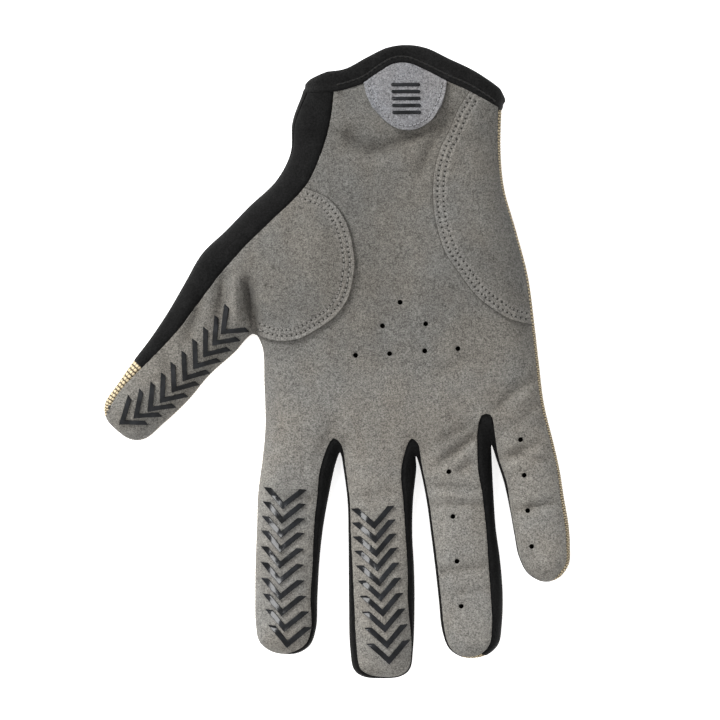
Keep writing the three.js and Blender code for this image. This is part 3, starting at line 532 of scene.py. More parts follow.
# The cloth puckers along the rim.
PUCKER = dict(pitch=4.6, height=0.16, reach=3.2)
# Soft waves of the cloth: their size, height and seed.
SOFT_WAVES = [(19.0, 0.5, 3), (9.0, 0.28, 8), (4.6, 0.08, 5)]


def fold_depth(plan, width_share=1.0):
    """How deep the folds press the palm side in at each place. Ridges count as negative depths."""
    total = np.zeros(len(plan))
    for start, end, width, depth in FOLDS:
        width = width * width_share
        line = np.array([start, end], float)
        _, distance, reached = nearest_on(line, plan)
        t = reached / np.linalg.norm(line[1] - line[0])
        soft, sharp = np.exp(-(distance / width) ** 2), np.exp(-distance / (CREASE * width))
        valley = (1 - CREASE) * soft + CREASE * sharp
        total += depth * valley * np.sin(math.pi * (FOLD_END + (1 - 2 * FOLD_END) * t))
    return total


def crown(plan):
    """How far the palm side rises above the rim, with its mounds and folds."""
    height = np.full(len(plan), FINGER_CROWN)
    for x, y, spread_x, spread_y, rise in MOUNDS:
        height += rise * np.exp(-((plan[:, 0] - x) / spread_x) ** 2 - ((plan[:, 1] - y) / spread_y) ** 2)
    height -= fold_depth(plan)
    for size, rise, seed in SOFT_WAVES:
        height += rise * wander(plan, size, seed)
    return height


def curl(plan):
    rise = 0
    for tips, value in ((FINGER_CURL, plan[:, 1]), (THUMB_CURL, plan[:, 0])):
        rise = rise + tips["rise"] * np.clip((tips["start"] - value) / tips["length"], 0, 1) ** 2
    return rise


def skin(plan, side, hint=None):
    """Points of the skin, and the way out of the glove there. Hint is the way out on the rim itself."""
    plan = np.asarray(plan, float)
    shape = plan.shape[:-1]
    plan = plan.reshape(-1, 2)
    way, distance, reached = nearest_on(RIM_LINE, plan)
    out = way / np.maximum(distance, 1e-9)[:, None]
    if hint is not None:
        # The nearest point of the rim gives no steady direction when it is very close.
        hint = hint.reshape(-1, 2)
        beyond = (distance < AT_RIM) & ((out * hint).sum(axis=1) < 0)
        distance = np.where(beyond, 0, distance)
        near = (1 - smooth(distance, AT_RIM, 4 * AT_RIM))[:, None]
        out = out * (1 - near) + hint * near
        out /= np.linalg.norm(out, axis=1)[:, None]
    if side == PALM:
        knuckle = smooth(plan[:, 1], *KNUCKLES)
        radius = FINGER_ROUNDING + (PALM_ROUNDING - FINGER_ROUNDING) * knuckle
        height = crown(plan)
        near_edge = np.exp(-distance / PUCKER["reach"])
        height += PUCKER["height"] * near_edge * np.cos(2 * math.pi * reached / PUCKER["pitch"])
    else:
        radius, height = UNDERSIDE_ROUNDING, RIM_HEIGHT
    left = 1 - np.minimum(distance / radius, 1)
    rise = (1 - left ** ROUNDING_POWER) ** (1 / ROUNDING_POWER)
    sideways = left ** (ROUNDING_POWER - 1) / radius
    upright = side * rise ** (ROUNDING_POWER - 1) / height
    normal = np.column_stack([out * sideways[:, None], upright * np.ones(len(plan))])
    normal /= np.linalg.norm(normal, axis=1)[:, None]
    at = np.column_stack([plan, RIM_HEIGHT + curl(plan) + side * rise * height])
    return at.reshape(*shape, 3), normal.reshape(*shape, 3)


def laid(grid, side, lift=0.0):
    """A plan grid laid on the skin, lifted by some millimetres along the way out."""
    at, out = skin(grid, side)
    return at + out * (np.asarray(lift)[..., None] if np.ndim(lift) else lift)


# Plan grids
CROWDING = 0.1 * math.pi


def crowded(count):
    """Columns across a finger lie closer together towards its sides, where the skin bends down."""
    angle = CROWDING + (math.pi - 2 * CROWDING) * np.linspace(0, 1, count + 1)
    return 0.5 - np.cos(angle) / math.cos(CROWDING) / 2


# From this share of the way down, rows bend into the arches between the fingers, and how suddenly.
LEVEL_UNTIL, LEVEL_BEND = 0.55, 1.5


def fill(top, bottom, left, right, columns, rows, level=None):
    """A grid of points between four edges (a Coons patch), as rows, columns, x and y.

    Where the bottom edge has deep arches, level is a smoother line beside it. The rows run along that line,
    and bend into the arches only when they come close to them.
    """
    u, v = np.asarray(columns)[None, :, None], np.asarray(rows)[:, None, None]
    a, b, c, d = top[0], top[-1], bottom[0], bottom[-1]
    down = v
    if level is not None:
        reach = (np.linalg.norm(level - top, axis=1) / np.linalg.norm(bottom - top, axis=1))[None, :, None]
        bend = np.clip((v - LEVEL_UNTIL) / (1 - LEVEL_UNTIL), 0, 1) ** LEVEL_BEND
        down = v * reach + (1 - reach) * bend
    ruled = top[None] * (1 - down) + bottom[None] * down + left[:, None] * (1 - u) + right[:, None] * u
    return ruled - a * (1 - u) * (1 - v) - b * u * (1 - v) - c * (1 - u) * v - d * u * v


def even(count):
    return np.linspace(0, 1, count + 1)


def evened(grid, rounds):
    """Moves the inner points of a grid until its cells are even, which unfolds those beside deep arches."""
    grid = grid.copy()
    for _ in range(rounds):
        beside = grid[1:-1, 2:] + grid[1:-1, :-2]
        above = grid[2:, 1:-1] + grid[:-2, 1:-1]
        across, down = grid[1:-1, 2:] - grid[1:-1, :-2], grid[2:, 1:-1] - grid[:-2, 1:-1]
        corners = grid[2:, 2:] - grid[2:, :-2] - grid[:-2, 2:] + grid[:-2, :-2]
        pairs = (down, down), (across, down), (across, across)
        a, b, c = (((one * two).sum(-1) / 4)[..., None] for one, two in pairs)
        grid[1:-1, 1:-1] = (a * beside + c * above - b * corners / 2) / (2 * (a + c))
    return grid


# How far apart two fingers' columns are along the cuff, in widths of a finger.
FINGER_PITCH = 1.16


def hand_blocks(places, place_of, seam, cuff_edge, across, crotch_steps, thumb_rows, rounds=0):
    """The six blocks of a hand-shaped sheet share their edges: four fingers, the thumb and the palm.

    The palm has thumb_rows rows beside the thumb. If they aren't as many as across, the thumb is set in with
    a seam.
    """
    line = getattr(places, seam)

    def edge(start, end):
        return line[place_of[start]:place_of[end] + 1]

    blocks, knuckles, level, columns = {}, [], [], []
    for n, finger in enumerate(FINGERS):
        left = edge(finger + "_left", finger + "_tip_left")
        right = edge(finger + "_tip_right", finger + "_right")[::-1]
        root = straight(left[0], right[0], crowded(across))
        tip = edge(finger + "_tip_left", finger + "_tip_right")
        blocks[finger] = fill(root, tip, left, right, crowded(across), even(len(left) - 1))
        knuckles.append(root)
        level.append(root)
        columns.append(n * FINGER_PITCH + crowded(across))
        if finger != FINGERS[-1]:
            crotch = edge(finger + "_right", FINGERS[n + 1] + "_left")
            knuckles.append(crotch[1:-1])
            level.append(straight(crotch[0], crotch[-1], even(crotch_steps))[1:-1])
            columns.append(n * FINGER_PITCH + 1 + (FINGER_PITCH - 1) * even(crotch_steps)[1:-1])
    thumb_left = edge("thumb_root", "thumb_tip_left")
    thumb_right = edge("thumb_tip_right", "thumb_crotch")[::-1]
    thumb_root = straight(thumb_left[0], thumb_right[0], even(across))
    thumb_tip = edge("thumb_tip_left", "thumb_tip_right")
    down_thumb = even(len(thumb_left) - 1)
    blocks["thumb"] = fill(thumb_root, thumb_tip, thumb_left, thumb_right, even(across), down_thumb)
    beside_thumb = straight(thumb_left[0], thumb_right[0], even(thumb_rows))[1:-1]
    left = np.vstack([edge("wrist_left", "thumb_root"), beside_thumb, edge("thumb_crotch", "index_left")])
    right = edge("pinky_right", "wrist_right")[::-1]
    shares = np.concatenate(columns)
    shares /= shares[-1]
    wrist = along([left[0], *cuff_edge, right[0]], shares)
    rows = even(len(left) - 1)
    blocks["palm"] = fill(wrist, np.vstack(knuckles), left, right, shares, rows, np.vstack(level))
    return {name: evened(block, rounds) for name, block in blocks.items()}


# Side strips: along the girth from the palm seam (0) over the rim (1) to the back seam (2)
GIRTH_SAMPLES = 12


def girth(places, u, with_out=False):
    u = np.broadcast_to(u, len(places.rim))
    seam = np.where((u <= 1)[:, None], places.palm, places.back)
    share = (1 - np.sin(math.pi * u / 2))[:, None]
    plan = places.rim + (seam - places.rim) * share
    at, out = np.zeros((len(u), 3)), np.zeros((len(u), 3))
    for side, chosen in ((PALM, u <= 1), (BACK, u > 1)):
        if chosen.any():
            at[chosen], out[chosen] = skin(plan[chosen], side, -places.inward[chosen])
    return (at, out) if with_out else at


def girth_length(places, half):
    points = [girth(places, half + f) for f in np.linspace(0, 1, GIRTH_SAMPLES + 1)]
    return sum(np.linalg.norm(b - a, axis=1) for a, b in zip(points, points[1:]))


# How deep a strip's edge is tucked in, and from how far.
TUCK = dict(depth=0.75, reach=1.3)


def strip(places, start, end, columns, tucked=(True, True)):
    """A strip over the rim. It is tucked under the sheets that it is sewn to, at its first and last edge."""
    upper, lower = girth_length(places, 0), girth_length(places, 1)
    start, end = (np.broadcast_to(np.asarray(value, float), len(places.rim)) for value in (start, end))
    rows = []
    for f in even(columns):
        u = start + (end - start) * f
        at, out = girth(places, u, with_out=True)
        run = np.where(u <= 1, u * upper, upper + (u - 1) * lower)
        first = np.where(start <= 1, start * upper, upper + (start - 1) * lower)
        last = np.where(end <= 1, end * upper, upper + (end - 1) * lower)
        under = tucked[0] * (1 - smooth(run - first, 0, TUCK["reach"]))
        under = under + tucked[1] * (1 - smooth(last - run, 0, TUCK["reach"]))
        rows.append(at - out * (TUCK["depth"] * np.minimum(under, 1))[:, None])
    return np.stack(rows, axis=1)


# Meshes
def add_mesh(name, points, faces, material=None):
    mesh = bpy.data.meshes.new(name)
    mesh.from_pydata(np.asarray(points) * MM, [], faces)
    mesh.update()
    thing = bpy.data.objects.new(name, mesh)
    bpy.context.scene.collection.objects.link(thing)
    if material:
        mesh.materials.append(material)
    return thing


def tube_faces(rings, sides):
    """Faces of a closed tube whose points lie in rings, one after the other, each with as many sides."""
    faces = []
    for i in range(rings - 1):
        for k in range(sides):
            n = (k + 1) % sides
            faces.append((i * sides + k, i * sides + n, (i + 1) * sides + n, (i + 1) * sides + k))
    last = (rings - 1) * sides
    return [*faces, tuple(range(sides))[::-1], tuple(range(last, last + sides))]


# Points of joined grids that round to the same multiple of this are one point.
WELD = 1e-3


def sheet_mesh(name, grids, material, turned=False, values=None):
    """One sheet from grids of points that share edges. Values holds named numbers for each point."""
    points = np.vstack([grid.reshape(-1, 3) for grid in grids])
    keys = np.round(points / WELD).astype(np.int64)
    kept, where = np.unique(keys, axis=0, return_index=True, return_inverse=True)[1:]
    where = where.reshape(-1)
    faces, base = [], 0
    for grid in grids:
        index = where[base:base + grid.shape[0] * grid.shape[1]].reshape(grid.shape[:2])
        base += index.size
        corners = [index[:-1, :-1], index[1:, :-1], index[1:, 1:], index[:-1, 1:]]
        quads = np.stack(corners, axis=-1).reshape(-1, 4)
        faces.append(quads[:, ::-1] if turned else quads)
    thing = add_mesh(name, points[kept], np.vstack(faces).tolist(), material)
    for label, numbers in (values or {}).items():
        set_values(thing, label, np.concatenate([n.reshape(-1) for n in numbers])[kept])
    return thing


def set_values(thing, label, numbers):
    """Keeps a number for each point of a mesh, which its finish or a geometry tree reads by name."""
    layer = thing.data.attributes.new(label, "FLOAT", "POINT")
    layer.data.foreach_set("value", np.asarray(numbers, np.float32))


def add_modifier(thing, kind, **settings):
    modifier = thing.modifiers.new(kind.title(), kind)
    for key, value in settings.items():
        setattr(modifier, key, value)
    return modifier


def baked(thing):
    """Turns an object with its modifiers into a plain mesh."""
    graph = bpy.context.evaluated_depsgraph_get()
    mesh = bpy.data.meshes.new_from_object(thing.evaluated_get(graph))
    thing.modifiers.clear()
    old, thing.data = thing.data, mesh
    bpy.data.meshes.remove(old)
    mesh.name = thing.name
    return thing


def smoothed(thing):
    thing.data.shade_smooth()
    return thing


def wall(thing, thickness, edge=0.28):
    """Gives a sheet its thickness on the inner side, with softened edges unless edge is 0."""
    add_modifier(thing, "SOLIDIFY", thickness=thickness * MM, offset=-1.0)
    baked(thing)
    if not edge:
        return smoothed(thing)
    add_modifier(
        thing, "BEVEL", width=edge * MM, segments=2, limit_method="ANGLE", angle_limit=math.radians(50),
        use_clamp_overlap=True,
    )
    return smoothed(baked(thing))


def mark_fold_shade(thing):
    """Tells the suede's finish how deep each place lies in a fold, from which it paints shade in the folds
    and a highlight on the ridges.
    """
    at = np.empty(len(thing.data.vertices) * 3, np.float32)
    thing.data.vertices.foreach_get("co", at)
    set_values(thing, "fold", fold_depth(at.reshape(-1, 3)[:, :2] / MM, FOLD_SHADE_SHARE))


def remove(*things):
    for thing in things:
        bpy.data.objects.remove(thing)


# Rows of stitches on a sewn-on piece: their distances from its edge, and the pitch of their needle holes.
STITCH_ROWS = (1.9, 4.0)
PANEL_PITCH = 1.95
PULL_WIDTH = 0.5
# Distances from a sewn edge are kept with this added, so that 0 says that a place has no such edge.
SEWN_EDGE = 1.0
# A wave texture of this scale, divided by a length, has one band in each such length.
WAVE_SCALE = 0.3125
BEAD_LENGTH = 1.5


# Materials
def finish(name, slot_color, roughness, **constants):
    """A new material with its shader, and a small helper that adds and joins nodes."""
    material = bpy.data.materials.new(name)
    material.use_nodes = True
    tree = material.node_tree
    shader = tree.nodes["Principled BSDF"]
    shader.inputs["Base Color"].default_value = (*slot_color, 1)
    shader.inputs["Roughness"].default_value = roughness
    for key, value in constants.items():
        shader.inputs[key.replace("_", " ").title().replace("Ior", "IOR")].default_value = value
    material.diffuse_color = (*slot_color, 1)
    return material, Nodes(tree), shader


class Nodes:
    """Adds nodes to a tree, joining the values or sockets given for their inputs."""

    def __init__(self, tree):
        self.tree = tree

    def add(self, kind, inputs=None, **settings):
        node = self.tree.nodes.new(kind)
        for key, value in settings.items():
            setattr(node, key, value)
        for key, value in (inputs or {}).items():
            if isinstance(value, bpy.types.NodeSocket):
                self.tree.links.new(value, node.inputs[key])
            else:
                node.inputs[key].default_value = value
        return node

    def place(self):
        return self.add("ShaderNodeTexCoord").outputs["Object"]

    def scaled(self, vector, scale):
        return self.add("ShaderNodeMapping", {"Vector": vector, "Scale": scale}).outputs["Vector"]

    def noise(self, vector, size, detail=2.0, roughness=0.5, distortion=0.0):
        """Noise whose features are about size millimetres wide."""
        inputs = {
            "Vector": vector, "Scale": 1 / (size * MM), "Detail": detail, "Roughness": roughness,
            "Distortion": distortion,
        }
        return self.add("ShaderNodeTexNoise", inputs).outputs["Fac"]

    def ramp(self, factor, stops):
        node = self.add("ShaderNodeValToRGB", {"Fac": factor})
        elements = node.color_ramp.elements
        while len(elements) < len(stops):
            elements.new(0.5)
        for element, (position, color) in zip(elements, stops):
            element.position = position
            element.color = (*color, 1)
        return node.outputs["Color"]

    def mix(self, factor, a, b, blend="MIX"):
        node = self.add("ShaderNodeMix", data_type="RGBA", blend_type=blend)
        for key, value in ((0, factor), (6, a), (7, b)):
            if isinstance(value, bpy.types.NodeSocket):
                self.tree.links.new(value, node.inputs[key])
            else:
                node.inputs[key].default_value = value if key == 0 else (*value, 1)
        return node.outputs[2]

    def math(self, operation, *values):
        return self.add("ShaderNodeMath", dict(enumerate(values)), operation=operation).outputs[0]

    def bump(self, height, distance, strength=1.0, normal=None):
        inputs = {"Height": height, "Distance": distance * MM, "Strength": strength}
        if normal is not None:
            inputs["Normal"] = normal
        return self.add("ShaderNodeBump", inputs).outputs["Normal"]

    def join(self, output, socket):
        self.tree.links.new(output, socket)


def shade(color, factor):
    return tuple(min(1.0, c * factor) for c in color)


def sewing_pull(nodes):
    """How strongly the stitches pull a sewn-on piece down: 1 at each needle hole of its rows, else near 0."""
    across = nodes.add("ShaderNodeAttribute", attribute_name="from_edge").outputs["Fac"]
    run = nodes.add("ShaderNodeAttribute", attribute_name="along_edge").outputs["Fac"]
    wave = nodes.math("COSINE", nodes.math("MULTIPLY", run, 2 * math.pi / PANEL_PITCH))
    beat = nodes.math("POWER", nodes.math("MULTIPLY_ADD", wave, 0.5, 0.5), 2.0)
    pull = 0.0
    for row in STITCH_ROWS:
        offset = nodes.math("DIVIDE", nodes.math("SUBTRACT", across, row + SEWN_EDGE), PULL_WIDTH)
        band = nodes.math("EXPONENT", nodes.math("MULTIPLY", nodes.math("MULTIPLY", offset, offset), -1.0))
        pull = nodes.math("ADD", pull, nodes.math("MULTIPLY", band, beat))
    return pull


def suede_finish(name, color, contrast):
    """Brushed suede: fine nap, soft mottling and faint streaks where the nap lies the other way, with painted
    shade towards the cuff, in the folds and along sewn edges.
    """
    material, nodes, shader = finish(
        name, color, 0.95, sheen_weight=0.12, sheen_roughness=0.6, sheen_tint=(0.85, 0.84, 0.8, 1),
        specular_ior_level=0.1,
    )
    place = nodes.place()
    nap = nodes.noise(place, 0.52, 3, 0.8, 0.2)
    clumps = nodes.noise(place, 1.3, 3, 0.6, 0.8)
    brushed = nodes.noise(nodes.scaled(place, (1.0, 0.6, 1.0)), 8.0, 4, 0.6, 1.0)
    worn = nodes.noise(place, 24.0, 3, 0.55)
    grain = nodes.math("MULTIPLY_ADD", nap, 0.75, nodes.math("MULTIPLY", clumps, 0.25))
    tone = nodes.ramp(grain, [
        (0.38, shade(color, 1 - contrast)), (0.5, color), (0.62, shade(color, 1 + contrast)),
    ])
    lying = nodes.ramp(brushed, [(0.38, (0.93, 0.92, 0.915)), (0.62, (1.03, 1.035, 1.04))])
    rubbed = nodes.ramp(worn, [(0.38, (0.95, 0.965, 0.98)), (0.62, (1.04, 1.02, 0.99))])
    tone = nodes.mix(1.0, tone, lying, "MULTIPLY")
    tone = nodes.mix(1.0, tone, rubbed, "MULTIPLY")
    # Painted shade: the suede is darkened from the knuckles to the cuff, a fall of light painted into its
    # colour.
    lengthwise = nodes.add("ShaderNodeSeparateXYZ", {"Vector": place}).outputs["Y"]
    painted_cuff_shade = nodes.ramp(nodes.math("MULTIPLY_ADD", lengthwise, 5.0, 0.5), [
        (0.26, (1.0, 1.0, 1.0)), (0.4, (0.91, 0.905, 0.9)), (0.5, (0.79,) * 3), (0.64, (0.66,) * 3),
    ])
    tone = nodes.mix(1.0, tone, painted_cuff_shade, "MULTIPLY")
    # Painted shade and highlight: the suede is darkened in the folds, where shade falls, and lightened on the
    # ridges beside them.
    fold = nodes.add("ShaderNodeAttribute", attribute_name="fold").outputs["Fac"]
    painted_fold_shade = nodes.ramp(nodes.math("MULTIPLY_ADD", fold, 0.2, 0.2), [
        (0.02, (1.12, 1.12, 1.12)), (0.2, (1.0,) * 3), (0.4, (0.81, 0.8, 0.79)), (0.62, (0.62, 0.61, 0.6)),
        (1.0, (0.5, 0.49, 0.48)),
    ])
    tone = nodes.mix(1.0, tone, painted_fold_shade, "MULTIPLY")
    # A sewn-on piece gets painted light along its edge: a dark painted shadow line at its cut edge, a paler
    # painted highlight on its raised border, and painted shade in the dents at the needle holes.
    across = nodes.add("ShaderNodeAttribute", attribute_name="from_edge").outputs["Fac"]
    plain, painted_border_light, cut = (1.0, 1.0, 1.0), (1.2, 1.2, 1.21), (0.5, 0.49, 0.48)
    painted_edge_shading = nodes.ramp(nodes.math("MULTIPLY", across, 0.1), [
        (0.0, plain), (0.09, plain), (0.1, cut), (0.12, cut), (0.14, painted_border_light), (0.57, painted_border_light), (0.68, plain),
    ])
    tone = nodes.mix(1.0, tone, painted_edge_shading, "MULTIPLY")
    pull = sewing_pull(nodes)
    painted_pull_shade = nodes.ramp(pull, [(0.15, (1.0, 1.0, 1.0)), (0.9, (0.7, 0.69, 0.68))])
    nodes.join(nodes.mix(1.0, tone, painted_pull_shade, "MULTIPLY"), shader.inputs["Base Color"])
    height = nodes.math("MULTIPLY_ADD", nap, 0.8, nodes.math("MULTIPLY", clumps, 0.4))
    rough = nodes.bump(height, 0.4, 0.7)
    nodes.join(nodes.bump(nodes.math("MULTIPLY", pull, -1.0), 0.35, 0.8, rough), shader.inputs["Normal"])
    return material


def stretch_finish(name, color, pitch):
    """Matt stretch cloth: a fine close weave that catches a little light along its threads."""
    material, nodes, shader = finish(
        name, color, 0.7, sheen_weight=0.01, sheen_roughness=0.4, specular_ior_level=0.1,
    )
    place = nodes.place()
    threads = [
        nodes.add(
            "ShaderNodeTexWave", {"Vector": place, "Scale": WAVE_SCALE / (pitch * MM), "Distortion": 0.6},
            bands_direction=direction,
        ).outputs["Fac"]
        for direction in ("X", "Y")
    ]
    soft = nodes.noise(place, 6.0, 3)
    fluff = nodes.noise(place, 0.6, 3, 0.7)
    tone = nodes.ramp(fluff, [(0.36, shade(color, 0.55)), (0.64, shade(color, 1.6))])
    worn = nodes.ramp(soft, [(0.3, (0.75,) * 3), (0.7, (1.1,) * 3)])
    nodes.join(nodes.mix(1.0, tone, worn, "MULTIPLY"), shader.inputs["Base Color"])
    weave = nodes.math("MULTIPLY_ADD", fluff, 0.6, nodes.math("MULTIPLY", *threads))
    nodes.join(nodes.bump(weave, 0.14, 0.6), shader.inputs["Normal"])
    return material


def knit_finish():
    """Rib knit: bright twisted threads on the ribs and painted shade in the gaps between them, from the rib
    attribute.
    """
    # The gap colour is painted shade between the loops of the tan yarn.
    bright, gap = (0.62, 0.52, 0.35), (0.06, 0.046, 0.03)
    material, nodes, shader = finish(
        "tan_rib_knit", (0.42, 0.35, 0.24), 0.85, sheen_weight=0.1, sheen_roughness=0.5,
        specular_ior_level=0.15,
    )
    rib = nodes.add("ShaderNodeAttribute", attribute_name="rib").outputs["Fac"]
    across = nodes.add("ShaderNodeAttribute", attribute_name="across").outputs["Fac"]
    crest = nodes.math("ABSOLUTE", nodes.math("SINE", nodes.math("MULTIPLY", rib, math.pi)))
    stagger = nodes.math("MULTIPLY", nodes.math("FLOOR", rib), 0.5)
    loop = nodes.math("ADD", nodes.math("DIVIDE", across, BEAD_LENGTH), stagger)
    bead = nodes.math("ABSOLUTE", nodes.math("SINE", nodes.math("MULTIPLY", loop, math.pi)))
    body = nodes.math("MULTIPLY", crest, nodes.math("POWER", bead, 0.5))
    fibre = nodes.noise(nodes.place(), 0.3, 2)
    tone = nodes.ramp(body, [(0.22, gap), (0.5, shade(bright, 0.7)), (0.8, bright)])
    tint = nodes.ramp(fibre, [(0.3, (0.78, 0.76, 0.72)), (0.7, (1.0, 1.0, 1.0))])
    nodes.join(nodes.mix(1.0, tone, tint, "MULTIPLY"), shader.inputs["Base Color"])
    nodes.join(nodes.bump(nodes.math("MULTIPLY_ADD", fibre, 0.3, body), 0.3, 0.6), shader.inputs["Normal"])
    return material


def silicone_finish():
    """Printed silicone: almost black, slightly uneven, glossy on the fingers and matt on the thumb."""
    material, nodes, shader = finish("printed_silicone", (0.011, 0.012, 0.014), 0.2, specular_ior_level=0.5)
    place = nodes.place()
    smear = nodes.noise(place, 4.0, 1)
    grain = nodes.noise(place, 0.4, 2)
    tone = nodes.ramp(smear, [(0.35, (0.005, 0.0055, 0.0062)), (0.65, (0.013, 0.014, 0.016))])
    nodes.join(tone, shader.inputs["Base Color"])
    sideways = nodes.add("ShaderNodeSeparateXYZ", {"Vector": place}).outputs["X"]
    on_thumb = nodes.math("LESS_THAN", sideways, THUMB_PRINT_EDGE * MM)
    gloss = nodes.math("MULTIPLY_ADD", grain, 0.16, 0.06)
    nodes.join(nodes.math("MULTIPLY_ADD", on_thumb, 0.6, gloss), shader.inputs["Roughness"])
    nodes.join(nodes.bump(nodes.math("MULTIPLY_ADD", grain, 0.03, smear), 0.32, 1.0), shader.inputs["Normal"])
    return material


def thread_finish(name, color):
    material, nodes, shader = finish(name, color, 0.7, sheen_weight=0.1, specular_ior_level=0.25)
    twist = nodes.noise(nodes.place(), 0.25, 2)
    tone = nodes.ramp(twist, [(0.35, shade(color, 0.7)), (0.65, shade(color, 1.25))])
    nodes.join(tone, shader.inputs["Base Color"])
    nodes.join(nodes.bump(twist, 0.08, 0.6), shader.inputs["Normal"])
    return material


suede = suede_finish("grey_suede", (0.176, 0.169, 0.155), 0.6)
# The tab's colour is set higher to make up for the painted shade that the suede finish lays over the cuff
# end.
tab_suede = suede_finish("pale_tab_suede", (0.262, 0.263, 0.276), 0.6)
black_stretch = stretch_finish("black_stretch_cloth", (0.0066, 0.0066, 0.0066), 0.45)
binding_cloth = stretch_finish("black_binding_cloth", (0.0084, 0.0083, 0.0083), 0.6)
tan_knit = knit_finish()
silicone = silicone_finish()
grey_thread = thread_finish("grey_thread", (0.20, 0.193, 0.178))
tab_thread = thread_finish("pale_thread", (0.26, 0.26, 0.27))
black_thread = thread_finish("black_thread", (0.012, 0.012, 0.012))
# Dark discs of painted shade stand in the needle holes.
painted_hole_shade = thread_finish("needle_hole_shade", (0.022, 0.021, 0.019))


# Geometry Nodes
# Work that is laid on a sheet is dropped from this height, in metres.
DROP_HEIGHT = 0.1


class GeometryTree(Nodes):
    """A geometry tree with named inputs."""

    def __init__(self, name, inputs):
        super().__init__(bpy.data.node_groups.new(name, "GeometryNodeTree"))
        face = self.tree.interface
        face.new_socket("Geometry", in_out="INPUT", socket_type="NodeSocketGeometry")
        for label, kind in inputs.items():
            face.new_socket(label, in_out="INPUT", socket_type="NodeSocket" + kind)
        face.new_socket("Geometry", in_out="OUTPUT", socket_type="NodeSocketGeometry")
        self.given = self.tree.nodes.new("NodeGroupInput").outputs

    def end(self, geometry):
        """Ends the tree in Realize Instances and Set Material."""
        real = self.add("GeometryNodeRealizeInstances", {"Geometry": geometry}).outputs["Geometry"]
        painted = self.add("GeometryNodeSetMaterial", {"Geometry": real, "Material": self.given["Material"]})
        self.add("NodeGroupOutput", {"Geometry": painted.outputs["Geometry"]})

    def shape_of(self, label):
        return self.add("GeometryNodeObjectInfo", {"Object": self.given[label]}).outputs["Geometry"]

    def number(self, label):
        """A number that each point of the geometry carries."""
        named = self.add("GeometryNodeInputNamedAttribute", {"Name": label}, data_type="FLOAT")
        return named.outputs["Attribute"]

    def laid_on(self, geometry, sheet):
        """Drops flat work straight down on a sheet. Its own height stays as its height above the sheet."""
        position = self.add("GeometryNodeInputPosition").outputs["Position"]
        xyz = self.add("ShaderNodeSeparateXYZ", {"Vector": position}).outputs
        over = {"X": xyz["X"], "Y": xyz["Y"], "Z": DROP_HEIGHT}
        above = self.add("ShaderNodeCombineXYZ", over).outputs["Vector"]
        drop = {"Source Position": above, "Ray Direction": (0, 0, -1), "Ray Length": 2 * DROP_HEIGHT}
        ray = self.add("GeometryNodeRaycast", {"Target Geometry": sheet, **drop}).outputs
        raised = self.add(
            "ShaderNodeVectorMath", {0: ray["Hit Normal"], "Scale": xyz["Z"]}, operation="SCALE"
        ).outputs["Vector"]
        there = self.add("ShaderNodeVectorMath", {0: ray["Hit Position"], 1: raised}).outputs["Vector"]
        moved = {"Geometry": geometry, "Position": there}
        return self.add("GeometryNodeSetPosition", moved).outputs["Geometry"]


def copies_tree():
    """Copies of one small shape at points that say how far each is turned, laid on a sheet."""
    tree = GeometryTree("copies_on_sheet", {"Sheet": "Object", "Shape": "Object", "Material": "Material"})
    rotation = tree.add("ShaderNodeCombineXYZ", {"Z": tree.number("turn")}).outputs["Vector"]
    copies = tree.add(
        "GeometryNodeInstanceOnPoints",
        {"Points": tree.given["Geometry"], "Instance": tree.shape_of("Shape"), "Rotation": rotation},
    ).outputs["Instances"]
    real = tree.add("GeometryNodeRealizeInstances", {"Geometry": copies}).outputs["Geometry"]
    tree.end(tree.laid_on(real, tree.shape_of("Sheet")))
    return tree.tree


def vent_tree():
    """Round holes punched through a sheet at the points of another object."""
    tree = GeometryTree(
        "vents", {"Places": "Object", "Radius": "Float", "Depth": "Float", "Material": "Material"}
    )
    size = {"Vertices": 20, "Radius": tree.given["Radius"], "Depth": tree.given["Depth"]}
    punch = tree.add("GeometryNodeMeshCylinder", size).outputs["Mesh"]
    copies = tree.add(
        "GeometryNodeInstanceOnPoints", {"Points": tree.shape_of("Places"), "Instance": punch}
    ).outputs["Instances"]
    punches = tree.add("GeometryNodeRealizeInstances", {"Geometry": copies}).outputs["Geometry"]
    cut = tree.add(
        "GeometryNodeMeshBoolean", {"Mesh 1": tree.given["Geometry"], "Mesh 2": punches},
        operation="DIFFERENCE", solver="MANIFOLD",
    ).outputs["Mesh"]
    tree.end(cut)
    return tree.tree


def rib_tree():
    """Presses grooves into a knitted sheet, one after each whole number of its rib attribute."""
    tree = GeometryTree("knitted_ribs", {"Depth": "Float", "Material": "Material"})
    arch = tree.math("ABSOLUTE", tree.math("SINE", tree.math("MULTIPLY", tree.number("rib"), math.pi)))
    crest = tree.math("POWER", arch, 0.6)
    inward = tree.math("MULTIPLY", tree.math("SUBTRACT", crest, 1.0), tree.given["Depth"])
    normal = tree.add("GeometryNodeInputNormal").outputs["Normal"]
    step = tree.add("ShaderNodeVectorMath", {0: normal, "Scale": inward}, operation="SCALE").outputs["Vector"]
    moved = {"Geometry": tree.given["Geometry"], "Offset": step}
    tree.end(tree.add("GeometryNodeSetPosition", moved).outputs["Geometry"])
    return tree.tree


def grown(thing, tree, **values):
    """Runs a geometry tree on an object and keeps the result as its plain mesh."""
    modifier = thing.modifiers.new("Grow", "NODES")
    modifier.node_group = tree
    for item in tree.interface.items_tree:
        if item.in_out == "INPUT" and item.name in values:
            modifier[item.identifier] = values[item.name]
    return baked(thing)


COPIES_ON_SHEET, VENTS, KNITTED_RIBS = copies_tree(), vent_tree(), rib_tree()


